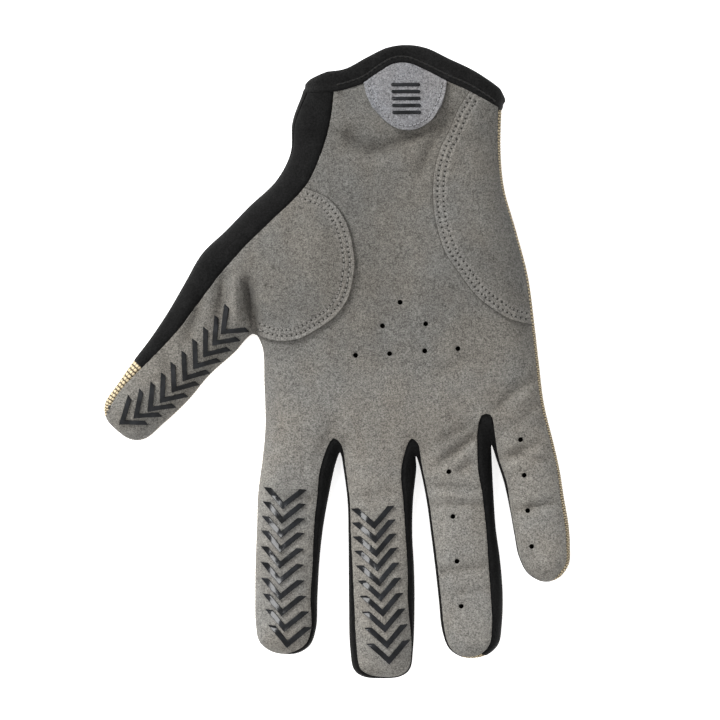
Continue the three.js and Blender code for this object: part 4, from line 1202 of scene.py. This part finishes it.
def copied(name, spots, turns, shape, sheet, material):
    """Copies of a shape at places in plan, each turned by an angle, laid on a sheet as one object."""
    dots = add_mesh(name, np.column_stack([spots, np.zeros(len(spots))]), [])
    set_values(dots, "turn", turns)
    grown(dots, COPIES_ON_SHEET, Sheet=sheet, Shape=shape, Material=material)
    return smoothed(dots)


# The sheets
ACROSS = 24
CROTCH_STEPS = 16
SUEDE_STEP = 0.9
EVENING_ROUNDS = 160
palm_counts = place_counts(SUEDE_STEP, ACROSS, 1)
for finger in FINGERS[:-1]:
    palm_counts[finger + "_right"] = CROTCH_STEPS
suede_places, suede_place_of = all_places(palm_counts)
cut_places = all_places(palm_counts)[0]
# The cut edge of the suede is slightly rough.
FRAY = (-0.04, 0.1)
fray = np.random.default_rng(11).uniform(*FRAY, len(cut_places.palm))
fray *= np.minimum(1, np.linalg.norm(cut_places.palm - cut_places.rim, axis=1))
cut_places.palm = cut_places.palm + cut_places.inward * fray[:, None]
palm_blocks = hand_blocks(
    cut_places, suede_place_of, "palm", PALM_CUFF_EDGE, ACROSS, CROTCH_STEPS, palm_counts["root"],
    EVENING_ROUNDS,
)

# Palm panel: the palm and the fronts of the fingers, with vent holes
finger_vents = [
    on_digit(finger, *place)
    for finger, (first, last) in FINGER_VENTS.items()
    for place in straight(first, last, even(VENTS_PER_FINGER - 1))
]
vent_places = np.array([*PALM_VENTS, *finger_vents])
VENT_DIMPLE = dict(depth=0.22, width=1.7)
PUNCH_DEPTH = 6
palm_grids = []
for name in ("palm", *FINGERS):
    block = palm_blocks[name]
    sunk = np.zeros(block.shape[:2])
    for vent in vent_places:
        distance = np.linalg.norm(block - vent, axis=-1)
        sunk -= VENT_DIMPLE["depth"] * np.exp(-(distance / VENT_DIMPLE["width"]) ** 2)
    palm_grids.append(laid(block, PALM, sunk))
palm_suede = wall(sheet_mesh("palm_suede", palm_grids, suede), SUEDE)
vent_points = add_mesh("vent_places", skin(vent_places, PALM)[0], [])
grown(
    palm_suede, VENTS, Places=vent_points, Radius=VENT_RADIUS * MM, Depth=PUNCH_DEPTH * MM, Material=suede
)
smoothed(palm_suede)


# Thumb panel and heel panel: suede pieces sewn on the palm, with a raised edge and two rows of stitches
SEWN_SUEDE = SUEDE - 0.05
# How far a sewn-on piece stands over the palm, over what length that fades out beyond the thumb's root, and
# the share of it that is left at the rim.
LAP = 1.05
LAP_FADE = 6.0
RIM_LAP_SHARE, RIM_LAP_REACH = 0.25, 3.0
ROW_GROOVE = dict(depth=0.2, width=0.7)
# The grid is fine near the sewn edge, and coarser in the field beyond.
EDGE_STEP, EDGE_REACH, FIELD_STEP = 0.35, 6.0, 1.0
# Rough widths and lengths of the two pieces, which their grids are shared out by.
PAD_SIZE, PATCH_SIZE = (44, 34), (26, 58)
# Steps of the lines that run along sewn edges.
LINE_STEPS, LONG_LINE_STEPS = 60, 80


def edge_dense(length):
    """Shares of a length that lie close together in the first few millimetres."""
    near = np.arange(0, EDGE_REACH, EDGE_STEP)
    far = np.linspace(EDGE_REACH, length, max(2, round((length - EDGE_REACH) / FIELD_STEP)))
    return np.concatenate([near, far]) / length


def from_edge(plan, edge_line):
    """How far each place of a grid is from the edge of its piece, and how far along that edge."""
    _, distance, reached = nearest_on(edge_line, plan.reshape(-1, 2))
    return distance.reshape(plan.shape[:-1]), reached.reshape(plan.shape[:-1])


def sewn_lift(plan, edge_line):
    """Height of a sewn-on piece over the palm: level, with a shallow groove along each row of stitches."""
    distance = from_edge(plan, edge_line)[0]
    groove = sum(np.exp(-((distance - row) / ROW_GROOVE["width"]) ** 2) for row in STITCH_ROWS)
    return LAP - ROW_GROOVE["depth"] * groove


def sewing_values(blocks, edge_line):
    """The numbers that the suede's finish needs to show how the stitches pull at it, and to paint light and
    shade along the sewn edge.
    """
    found = [from_edge(block, edge_line) for block in blocks]
    return {"from_edge": [gap + SEWN_EDGE for gap, run in found], "along_edge": [run for gap, run in found]}


thumb_root_line = palm_blocks["thumb"][0]


def thumb_lap(plan):
    """The thumb panel comes down to the skin beyond the thumb's root line, and lies flatter at the rim."""
    a, root = thumb_root_line[0], thumb_root_line[-1] - thumb_root_line[0]
    beyond = ((plan[..., 0] - a[0]) * root[1] - (plan[..., 1] - a[1]) * root[0]) / np.linalg.norm(root)
    to_rim = nearest_on(RIM_LINE, plan.reshape(-1, 2))[1].reshape(plan.shape[:-1])
    at_rim = RIM_LAP_SHARE + (1 - RIM_LAP_SHARE) * smooth(to_rim, 0, RIM_LAP_REACH)
    return (1 - smooth(beyond, 0, LAP_FADE)) * at_rim


pad_columns, pad_rows = 1 - edge_dense(PAD_SIZE[0])[::-1], edge_dense(PAD_SIZE[1])
pad_seam = cut_places.part(suede_place_of["thenar_top"], suede_place_of["thumb_root"]).palm
thenar_upper = [pad_seam[0], *THENAR_UPPER, THENAR_CORNER]
thenar_lower = [THENAR_CORNER, *THENAR_LOWER, thumb_root_line[-1]]
thenar_line = np.vstack([
    along(thenar_upper, even(LINE_STEPS)), along(thenar_lower, even(LONG_LINE_STEPS))[1:],
])
pad_top = along(thenar_upper, pad_columns)
pad_right = along(thenar_lower, pad_rows)
pad_bottom = straight(thumb_root_line[0], thumb_root_line[-1], pad_columns)
thenar_block = fill(pad_top, pad_bottom, along(pad_seam, pad_rows), pad_right, pad_columns, pad_rows)
thumb_steps = len(palm_blocks["thumb"]) - 1
thumb_left, thumb_right = palm_blocks["thumb"][:, 0], palm_blocks["thumb"][:, -1]
tip_line = palm_blocks["thumb"][-1]
thumb_block = fill(
    pad_bottom, curve(tip_line, pad_columns), thumb_left, thumb_right, pad_columns, even(thumb_steps)
)
thumb_parts = (thenar_block, thumb_block)
thumb_grids = [laid(block, PALM, sewn_lift(block, thenar_line) * thumb_lap(block)) for block in thumb_parts]
thumb_values = sewing_values(thumb_parts, thenar_line)
thumb_suede = wall(sheet_mesh("thumb_suede", thumb_grids, suede, values=thumb_values), SEWN_SUEDE)

# How far the heel patch stays inside the seam of the palm.
PATCH_MARGIN = 0.7
heel_places = cut_places.part(suede_place_of["heel_end"], suede_place_of["wrist_right"])
heel_seam = (heel_places.palm + heel_places.inward * PATCH_MARGIN)[::-1]
heel_upper = [HEEL_TOP, *HEEL_UPPER, HEEL_CORNER]
heel_lower = [HEEL_CORNER, *HEEL_LOWER, heel_seam[-1]]
heel_line = np.vstack([along(heel_upper, even(LINE_STEPS)), along(heel_lower, even(LINE_STEPS))[1:]])
heel_columns, heel_rows = edge_dense(PATCH_SIZE[0]), 1 - edge_dense(PATCH_SIZE[1])[::-1]
heel_left = along(heel_upper, heel_rows)
heel_right = along(heel_seam, heel_rows)
heel_bottom = along(heel_lower, heel_columns)
heel_top = straight(heel_left[0], heel_right[0], heel_columns)
heel_block = fill(heel_top, heel_bottom, heel_left, heel_right, heel_columns, heel_rows)
heel_grid = laid(heel_block, PALM, sewn_lift(heel_block, heel_line))
heel_values = sewing_values([heel_block], heel_line)
heel_suede = wall(sheet_mesh("heel_suede", [heel_grid], suede, values=heel_values), SEWN_SUEDE)

# Pull tab: a small shield that hangs from the binding, with raised ribs
TAB_LIFT = (1.5, 2.0)
TAB_STEPS = (40, 26)
TAB_GROOVE = dict(depth=0.2, width=0.7)
tab_columns, tab_rows = (even(count) for count in TAB_STEPS)
tab_block = fill(
    along(TAB_TOP, tab_columns), along(TAB_BOTTOM, tab_columns), along(TAB_LEFT, tab_rows),
    along(TAB_RIGHT, tab_rows), tab_columns, tab_rows,
)
TAB_SEWING = 1.6
tab_edge = np.vstack([
    along(TAB_LEFT, even(20)), along(TAB_BOTTOM, even(40))[1:], along(TAB_RIGHT, even(20))[::-1][1:],
])
tab_lift = TAB_LIFT[0] + (TAB_LIFT[1] - TAB_LIFT[0]) * tab_rows[:, None] ** 2 * np.ones(len(tab_columns))
tab_distance = from_edge(tab_block, tab_edge)[0]
tab_lift = tab_lift - TAB_GROOVE["depth"] * np.exp(-((tab_distance - TAB_SEWING) / TAB_GROOVE["width"]) ** 2)
pull_tab_suede = wall(sheet_mesh("pull_tab_suede", [laid(tab_block, PALM, tab_lift)], tab_suede), TAB)

# Side strips of black stretch cloth
STRIP_COLUMNS = 16
# On each side of the ring finger's tip, the gussets leave this many places of the suede's edge to the knit.
RING_TIP_GAP = 5
gussets = {}
for name, start, end in (
    ("index_middle", suede_place_of["index_tip"], suede_place_of["middle_tip"]),
    ("middle_ring", suede_place_of["middle_tip"], suede_place_of["ring_tip"] - RING_TIP_GAP),
    ("ring_pinky", suede_place_of["ring_tip"] + RING_TIP_GAP, suede_place_of["pinky_tip"]),
):
    grid = strip(suede_places.part(start, end), 0, 2, STRIP_COLUMNS)
    gussets[name] = wall(sheet_mesh(f"gusset_cloth_{name}", [grid], black_stretch, turned=True), STRETCH)

# The seam between the thumb side panel and the cuff side panel runs down the side of the cuff.
CUFF_SEAM_ENDS = (0.7, 1.0)
# Past that seam the thumb side panel widens to the back seam over this many places. The cuff side panel ends
# a few places before that, and reaches a little under the other.
WIDENS_OVER, CUFF_SIDE_SHORT, CUFF_SIDE_LAP = 14, 3, 0.04
side_places = suede_places.part(0, suede_place_of["thumb_black_end"])
cuff_places_count = suede_place_of["thenar_top"] + 1
seam_run = np.linspace(0, 1, cuff_places_count)
seam_end = np.full(len(side_places.rim), 2.0)
seam_end[:cuff_places_count] = CUFF_SEAM_ENDS[0] + (CUFF_SEAM_ENDS[1] - CUFF_SEAM_ENDS[0]) * seam_run
widening = np.arange(len(seam_end)) - cuff_places_count + 1
open_end = (widening > 0) & (widening < WIDENS_OVER)
seam_end[open_end] = 1 + smooth(widening[open_end] / WIDENS_OVER, 0, 1)
side_grid = strip(side_places, 0, seam_end, STRIP_COLUMNS)
thumb_side_cloth = wall(sheet_mesh("thumb_side_cloth", [side_grid], black_stretch, turned=True), STRETCH)
cuff_side_places = suede_places.part(0, cuff_places_count + WIDENS_OVER - CUFF_SIDE_SHORT)
cuff_start = seam_end[:len(cuff_side_places.rim)] - CUFF_SIDE_LAP
cuff_grid = strip(cuff_side_places, cuff_start, 2, STRIP_COLUMNS, (False, True))
cuff_side_cloth = wall(sheet_mesh("cuff_side_cloth", [cuff_grid], black_stretch, turned=True), STRETCH)

# Rib knit: the back of the hand, and the strips that climb over the rim to the palm seam
RIB_SAMPLES = 5
RIB_PITCH = 1.12
RIB_DEPTH = 0.25
KNIT_ACROSS = 8
KNIT_CROTCH_STEPS = 4
# Lengths that the rows of ribs are shared out by: along the root of the thumb, and beside the heel patch.
KNIT_ROOT, KNIT_HEEL = 33, 91
knit_counts = place_counts(RIB_PITCH / RIB_SAMPLES, KNIT_ACROSS, RIB_SAMPLES, KNIT_ROOT, KNIT_HEEL)
for finger in FINGERS[:-1]:
    knit_counts[finger + "_right"] = KNIT_CROTCH_STEPS
knit_places, knit_place_of = all_places(knit_counts)
knit_blocks = hand_blocks(
    knit_places, knit_place_of, "back", BACK_CUFF_EDGE, KNIT_ACROSS, KNIT_CROTCH_STEPS, knit_counts["root"]
)


def rib_numbers(grid):
    return np.broadcast_to(np.arange(len(grid))[:, None] / RIB_SAMPLES, grid.shape[:2])


def across_lengths(grid):
    steps = np.linalg.norm(np.diff(grid, axis=1), axis=-1)
    return np.concatenate([np.zeros((len(grid), 1)), np.cumsum(steps, axis=1)], axis=1)


back_grids = [laid(block, BACK) for block in knit_blocks.values()]
knit_back = sheet_mesh(
    "knit_back", back_grids, tan_knit, turned=True,
    values={"rib": [rib_numbers(g) for g in back_grids], "across": [across_lengths(g) for g in back_grids]},
)
grown(knit_back, KNITTED_RIBS, Depth=RIB_DEPTH * MM, Material=tan_knit)
wall(knit_back, KNIT, edge=0)

RIBS_ROUND_TIP = 20
EDGE_COLUMNS = 10
# How many places of the knit show on each side of the ring finger's tip.
RING_TIP_KNIT = 22
edge_counts = place_counts(RIB_PITCH / RIB_SAMPLES, RIBS_ROUND_TIP * RIB_SAMPLES, RIB_SAMPLES)
edge_places, edge_place_of = all_places(edge_counts)
KNIT_STRETCHES = {
    "thumb": (edge_place_of["thumb_black_end"], edge_place_of["index_tip"]),
    "ring": (edge_place_of["ring_tip"] - RING_TIP_KNIT, edge_place_of["ring_tip"] + RING_TIP_KNIT),
    "pinky": (edge_place_of["pinky_tip"], edge_place_of["wrist_right"]),
}
knit_edges = {}
for name, (start, end) in KNIT_STRETCHES.items():
    grid = strip(edge_places.part(start, end), 0, 2, EDGE_COLUMNS)
    strip_sheet = sheet_mesh(
        f"knit_edge_{name}", [grid], tan_knit, turned=True,
        values={"rib": [rib_numbers(grid)], "across": [across_lengths(grid)]},
    )
    grown(strip_sheet, KNITTED_RIBS, Depth=RIB_DEPTH * MM, Material=tan_knit)
    knit_edges[name] = wall(strip_sheet, KNIT, edge=0)

# Binding: a folded band round the whole cuff, with a row of stitches near its lower edge
BINDING_PROUD = 0.9
BINDING_SEWING = 1.5
# How many steps the band takes along the palm, along the back and round each side of the cuff.
PALM_BAND_STEPS, BACK_BAND_STEPS, TURN_STEPS = 90, 80, 12
# The section of the band: share of its width, millimetres added to that, height over the sheet's face.
BINDING_SECTION = [
    (0, -0.7, -0.75), (0, -0.8, -0.2), (0, -0.75, 0.35), (0, -0.35, 0.62), (0, 0.5, 0.72), (0, 1.0, 0.66),
    (0, 1.35, 0.56), (0, 1.6, 0.55), (0, 2.0, 0.64), (0, 2.7, 0.85), (0.55, 0, 1.0), (0.72, 0, 0.9),
    (0.86, 0, 0.5), (0.95, 0, -0.1), (1.0, 0, -0.9), (0.96, 0, -1.6), (0.82, 0, -2.0), (0.5, 0, -2.15),
    (0.2, 0, -2.1), (0, -0.2, -1.7),
]


def cuff_row(row, side, band):
    """The band along one side of the cuff: places on the skin, ways out, the band's edge, how proud it is."""
    at, out = skin(row, side)
    proud = BINDING_PROUD if side == PALM else 0.0
    return list(zip(at, out, along(band, even(len(row) - 1)), [proud] * len(row)))


def cuff_turn(number, upper, lower, corner):
    """Round each side of the cuff, the band follows the girth from its palm edge to its back edge."""
    positions = np.linspace(0, 2, TURN_STEPS + 2)[1:-1]
    places = Places(np.full(TURN_STEPS, number))
    at, out = girth(places, positions, with_out=True)
    outer = curve([upper[2], corner, lower[2]], positions / 2)
    return list(zip(at, out, outer, BINDING_PROUD * (1 - positions / 2)))


def spaced_row(block, count):
    return along(block[0][::4], even(count))


palm_row = cuff_row(spaced_row(palm_blocks["palm"], PALM_BAND_STEPS), PALM, PALM_CUFF_OUTER)
back_row = cuff_row(spaced_row(knit_blocks["palm"], BACK_BAND_STEPS), BACK, BACK_CUFF_OUTER)
outer_turn = cuff_turn(MARK["wrist_right"], palm_row[-1], back_row[-1], CUFF_CORNER_RIGHT)
thumb_turn = cuff_turn(MARK["wrist_left"], palm_row[0], back_row[0], CUFF_CORNER_LEFT)
rings = []
for at, out, outer, proud in [*palm_row, *outer_turn, *back_row[::-1], *thumb_turn[::-1]]:
    edge = np.array([outer[0] - at[0], outer[1] - at[1], 0])
    width = np.linalg.norm(edge)
    ahead = edge / width
    rings.append([
        at + ahead * (share * width + shift) + out * (height + proud - BINDING_PROUD)
        for share, shift, height in BINDING_SECTION
    ])
rings = np.array(rings)
ring_count, section_count = rings.shape[:2]
numbers = np.arange(ring_count * section_count).reshape(ring_count, section_count)
after, beside = np.roll(numbers, -1, axis=0), np.roll(numbers, -1, axis=1)
ring_faces = np.stack([numbers, after, np.roll(after, -1, axis=1), beside], axis=-1).reshape(-1, 4)
cuff_binding_cloth = add_mesh("cuff_binding_cloth", rings.reshape(-1, 3), ring_faces.tolist(), binding_cloth)
add_modifier(cuff_binding_cloth, "SUBSURF", levels=1, render_levels=1)
smoothed(baked(cuff_binding_cloth))


# Printed grips
# Half of a stroke's section: sideways and up, as shares of half its width and of its height.
GRIP_SECTION = [
    (-1, -0.12), (-1, 0.66), (-0.98, 0.88), (-0.93, 0.98), (-0.87, 0.997), (-0.81, 0.9995), (0, 1),
]
# Places along an arm, and how low its end is, as shares of its length and height.
ARM_SHARES = np.linspace(1, 0.24, 10)
ARM_END_HEIGHT = 0.8


def arrowhead(left, right, widths):
    """An arrowhead at the origin: a flat-topped stroke along both arms, its ends cut square to its axis."""
    left, right = np.array([*left, 0.0]), np.array([*right, 0.0])
    axis = left / np.linalg.norm(left) + right / np.linalg.norm(right)
    axis /= np.linalg.norm(axis)
    square = np.array([axis[1], -axis[0], 0])
    rows = [(left, s, square, widths[0]) for s in ARM_SHARES] + [(left, 0, axis, sum(widths) / 2)]
    rows += [(right, s, -square, widths[1]) for s in ARM_SHARES[::-1]]
    section = GRIP_SECTION + [(-way, height) for way, height in GRIP_SECTION[-2::-1]]
    points = []
    for number, (arm, share, inner, width) in enumerate(rows):
        half = width / 2 * np.linalg.norm(arm) / abs(arm[0] * inner[1] - arm[1] * inner[0])
        end_height = ARM_END_HEIGHT if number in (0, len(rows) - 1) else 1.0
        for way, height in section:
            up = GRIP_HEIGHT * height * (end_height if height > 0 else 1)
            points.append(arm * share + inner * way * half + (0, 0, up))
    return add_mesh("arrowhead", points, tube_faces(len(rows), len(section)))


grip_pieces = {}
for digit, grip in GRIPS.items():
    spots = curve(grip["line"], even(GRIPS_PER_DIGIT - 1))
    head = arrowhead(grip["left"], grip["right"], grip["widths"])
    under = thumb_suede if digit == "thumb" else palm_suede
    turns = np.radians(spots[:, 2])
    grip_pieces[digit] = copied(f"grips_{digit}", spots[:, :2], turns, head, under, silicone)
    remove(head)


# Stitches
# The thread's middle line: places along the stitch, and its height as a share of the thread's radius.
STITCH_LINE = [(-0.5, -0.35), (-0.36, 0.35), (-0.12, 0.75), (0.12, 0.75), (0.36, 0.35), (0.5, -0.35)]


def circle(sides):
    angles = 2 * math.pi * np.arange(sides) / sides
    return list(zip(np.cos(angles), np.sin(angles)))


def stitch(name, length, radius, sides=6):
    """One stitch along x: a short thread that rises from the cloth and dips back into it."""
    points = [
        (share * length, radius * c, radius * (height + s)) for share, height in STITCH_LINE
        for c, s in circle(sides)
    ]
    return add_mesh(name, points, tube_faces(len(STITCH_LINE), sides))


def needle_hole(name, radius, sides=8):
    """A dark disc of painted shade where the needle went in."""
    points, faces = [(0, 0, 0.06)], []
    for ring_radius, height in ((radius * 0.75, 0.04), (radius, -0.05)):
        points += [(ring_radius * c, ring_radius * s, height) for c, s in circle(sides)]
    for k in range(sides):
        n = (k + 1) % sides
        faces += [(0, 1 + k, 1 + n), (1 + k, 1 + sides + k, 1 + sides + n, 1 + n)]
    faces.append(tuple(range(1 + sides, 1 + 2 * sides))[::-1])
    return add_mesh(name, points, faces)


def lands_on(sheet, spots):
    """Whether something dropped at each place comes down on the sheet."""
    graph = bpy.context.evaluated_depsgraph_get()
    return np.array([
        sheet.ray_cast((x * MM, y * MM, DROP_HEIGHT), (0, 0, -1), depsgraph=graph)[0] for x, y in spots
    ])


def sewn(name, edge, rows, side, pitch, sheet, thread, size, hole):
    """Stitches in rows beside a piece's edge, and dark discs of painted shade for the needle holes between
    them. Side 1 is to its left.

    Size is the length of a stitch and the radius of its thread. Hole is the radius of a needle hole.
    """
    lengths = run_lengths(edge)
    tangent = np.gradient(edge, axis=0)
    tangent /= np.linalg.norm(tangent, axis=1)[:, None]
    made = []
    for kind, shape, shift, material in (
        ("stitches", stitch("one_stitch", *size), pitch / 2, thread),
        ("needle_holes", needle_hole("one_hole", hole), 0, painted_hole_shade),
    ):
        run = np.arange(pitch + shift, lengths[-1] - pitch / 2, pitch)
        base, ahead = (
            np.column_stack([np.interp(run, lengths, line[:, k]) for k in (0, 1)]) for line in (edge, tangent)
        )
        left = np.column_stack([-ahead[:, 1], ahead[:, 0]]) * side
        spots = np.vstack([base + left * row for row in rows])
        ahead = np.tile(ahead, (len(rows), 1))
        # A stitch whose ends would lie beyond the sheet is left out.
        kept = lands_on(sheet, spots - ahead * size[0]) & lands_on(sheet, spots + ahead * size[0])
        turns = np.arctan2(ahead[:, 1], ahead[:, 0])
        made.append(copied(f"{name}_{kind}", spots[kept], turns[kept], shape, sheet, material))
        remove(shape)
    return made


thenar_sewing = sewn(
    "thenar", thenar_line, STITCH_ROWS, -1, PANEL_PITCH, thumb_suede, grey_thread, (1.2, 0.17), 0.38
)
heel_sewing = sewn(
    "heel", heel_line, STITCH_ROWS, 1, PANEL_PITCH, heel_suede, grey_thread, (1.1, 0.13), 0.42
)
tab_sewing = sewn("tab", tab_edge, (TAB_SEWING,), 1, 1.8, pull_tab_suede, tab_thread, (1.3, 0.2), 0.3)
binding_line = np.array([
    at[:2] + (outer - at[:2]) / np.linalg.norm(outer - at[:2]) * BINDING_SEWING
    for at, _, outer, _ in palm_row
])
binding_sewing = sewn(
    "binding", binding_line, (0,), 1, 1.9, cuff_binding_cloth, black_thread, (1.2, 0.28), 0.36
)

# Raised ribs printed on the pull tab: where the middle of each lies
TAB_RIBS = [(24.4, 99.2), (24.5, 96.7), (24.6, 94.2), (24.7, 91.7), (24.8, 89.2)]
TAB_RIB = dict(length=10.4, width=1.25)
# Its section from the foot up: share of its width, and height.
TAB_RIB_LEVELS = [(1.0, -0.1), (1.0, 0.22), (0.8, 0.38), (0.35, 0.42)]


def bar(name, half_length, half_width, sides=24):
    """One rib along x with rounded ends and a crowned top."""
    reach = half_length - half_width
    points = [
        (math.copysign(reach, c if c > 0 else -1) + c * half_width * share, s * half_width * share, height)
        for share, height in TAB_RIB_LEVELS for c, s in circle(sides)
    ]
    return add_mesh(name, points, tube_faces(len(TAB_RIB_LEVELS), sides))


one_rib = bar("one_rib", TAB_RIB["length"] / 2, TAB_RIB["width"] / 2)
tab_ribs = copied("tab_ribs", TAB_RIBS, np.zeros(len(TAB_RIBS)), one_rib, pull_tab_suede, silicone)
remove(one_rib, vent_points)

# What each piece stands for, and its finish
PIECES = [
    (palm_suede, "suede", ["palm_panel"]),
    (thumb_suede, "suede", ["thumb_panel"]),
    (heel_suede, "suede", ["heel_panel"]),
    (pull_tab_suede, "tab_suede", ["pull_tab"]),
    (tab_ribs, "silicone", []),
    (knit_back, "tan_knit", ["back_panel"]),
    *[(piece, "tan_knit", ["back_panel"]) for piece in knit_edges.values()],
    (thumb_side_cloth, "black_stretch", ["thumb_side_panel"]),
    (cuff_side_cloth, "black_stretch", ["cuff_side_panel"]),
    (cuff_binding_cloth, "binding_cloth", ["cuff_binding"]),
    *[(piece, "black_stretch", [f"gusset_{name}"]) for name, piece in gussets.items()],
    *[
        (piece, "silicone", [f"grip_{digit}_{n + 1:02d}" for n in range(GRIPS_PER_DIGIT)])
        for digit, piece in grip_pieces.items()
    ],
    *[(piece, "suede", []) for piece in thenar_sewing + heel_sewing],
    *[(piece, "tab_suede", []) for piece in tab_sewing],
    *[(piece, "binding_cloth", []) for piece in binding_sewing],
]
# The suede pieces carry their fold depths, from which their finish paints shade in the folds.
for piece in (palm_suede, thumb_suede, heel_suede):
    mark_fold_shade(piece)
for piece, slot, nodes in PIECES:
    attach(piece, "root")
    if nodes:
        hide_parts(*nodes)

# Floor, light and camera. The floor is a faint light table, as in a studio, so the shadows stay pale. It lies
# a little lower than the glove's lowest thread.
FLOOR_SIZE = 4.0
FLOOR_DROP = 0.0004
FLOOR_GLOW = 0.7
ROOM_LIGHT = 0.3
floor_corners = np.array([(-1, -1, 0), (1, -1, 0), (1, 1, 0), (-1, 1, 0)]) * FLOOR_SIZE / MM / 2
floor = add_mesh("floor", floor_corners, [(0, 1, 2, 3)])
floor.location.z = -FLOOR_DROP
floor_paint = finish(
    "pale_floor", (0.9, 0.9, 0.9), 0.9, specular_ior_level=0.1, emission_color=(1, 1, 1, 1),
    emission_strength=FLOOR_GLOW,
)[0]
floor.data.materials.append(floor_paint)

world = bpy.data.worlds.new("studio")
bpy.context.scene.world = world
world.use_nodes = True
sky = world.node_tree.nodes["Background"].inputs
sky["Color"].default_value = (1, 1, 1, 1)
sky["Strength"].default_value = ROOM_LIGHT


def add_light(name, place, target, size, power):
    """A square lamp at a place, facing its target. Places and size are in metres, power in watts."""
    lamp = bpy.data.lights.new(name, "AREA")
    lamp.shape = "SQUARE"
    lamp.size, lamp.energy = size, power
    thing = bpy.data.objects.new(name, lamp)
    bpy.context.scene.collection.objects.link(thing)
    thing.location = place
    aim = np.array(target) - np.array(place)
    yaw = math.atan2(aim[1], aim[0])
    tilt = math.atan2(math.hypot(aim[0], aim[1]), -aim[2])
    thing.rotation_euler = (tilt, 0, yaw - math.pi / 2)
    return thing


key_lamp = add_light("key", (-0.75, 0.8, 0.65), (0, -0.02, 0), 0.5, 24)
fill_lamp = add_light("fill", (0.55, -0.65, 1.0), (0, -0.02, 0), 0.9, 7)
# A smaller panel high up on the left is the only one that is mirrored, in the left arms of the grips.
key_lamp.visible_glossy = fill_lamp.visible_glossy = False
add_light("high", (-0.42, 0.0, 1.12), (0, 0, 0), 0.42, 5.0)

# The camera looks straight down from this height, in metres, with a long lens.
CAMERA_CENTRE = (8.1 * MM, 0.54 * MM)
CAMERA_HEIGHT = 0.982
LENS, SENSOR = 135, 36
camera = bpy.data.cameras.new("camera")
camera.lens, camera.sensor_width = LENS, SENSOR
camera.clip_start = 0.05
camera_object = bpy.data.objects.new("camera", camera)
bpy.context.scene.collection.objects.link(camera_object)
camera_object.location = (*CAMERA_CENTRE, CAMERA_HEIGHT)
bpy.context.scene.camera = camera_object
bpy.context.scene.view_settings.view_transform = "Standard"
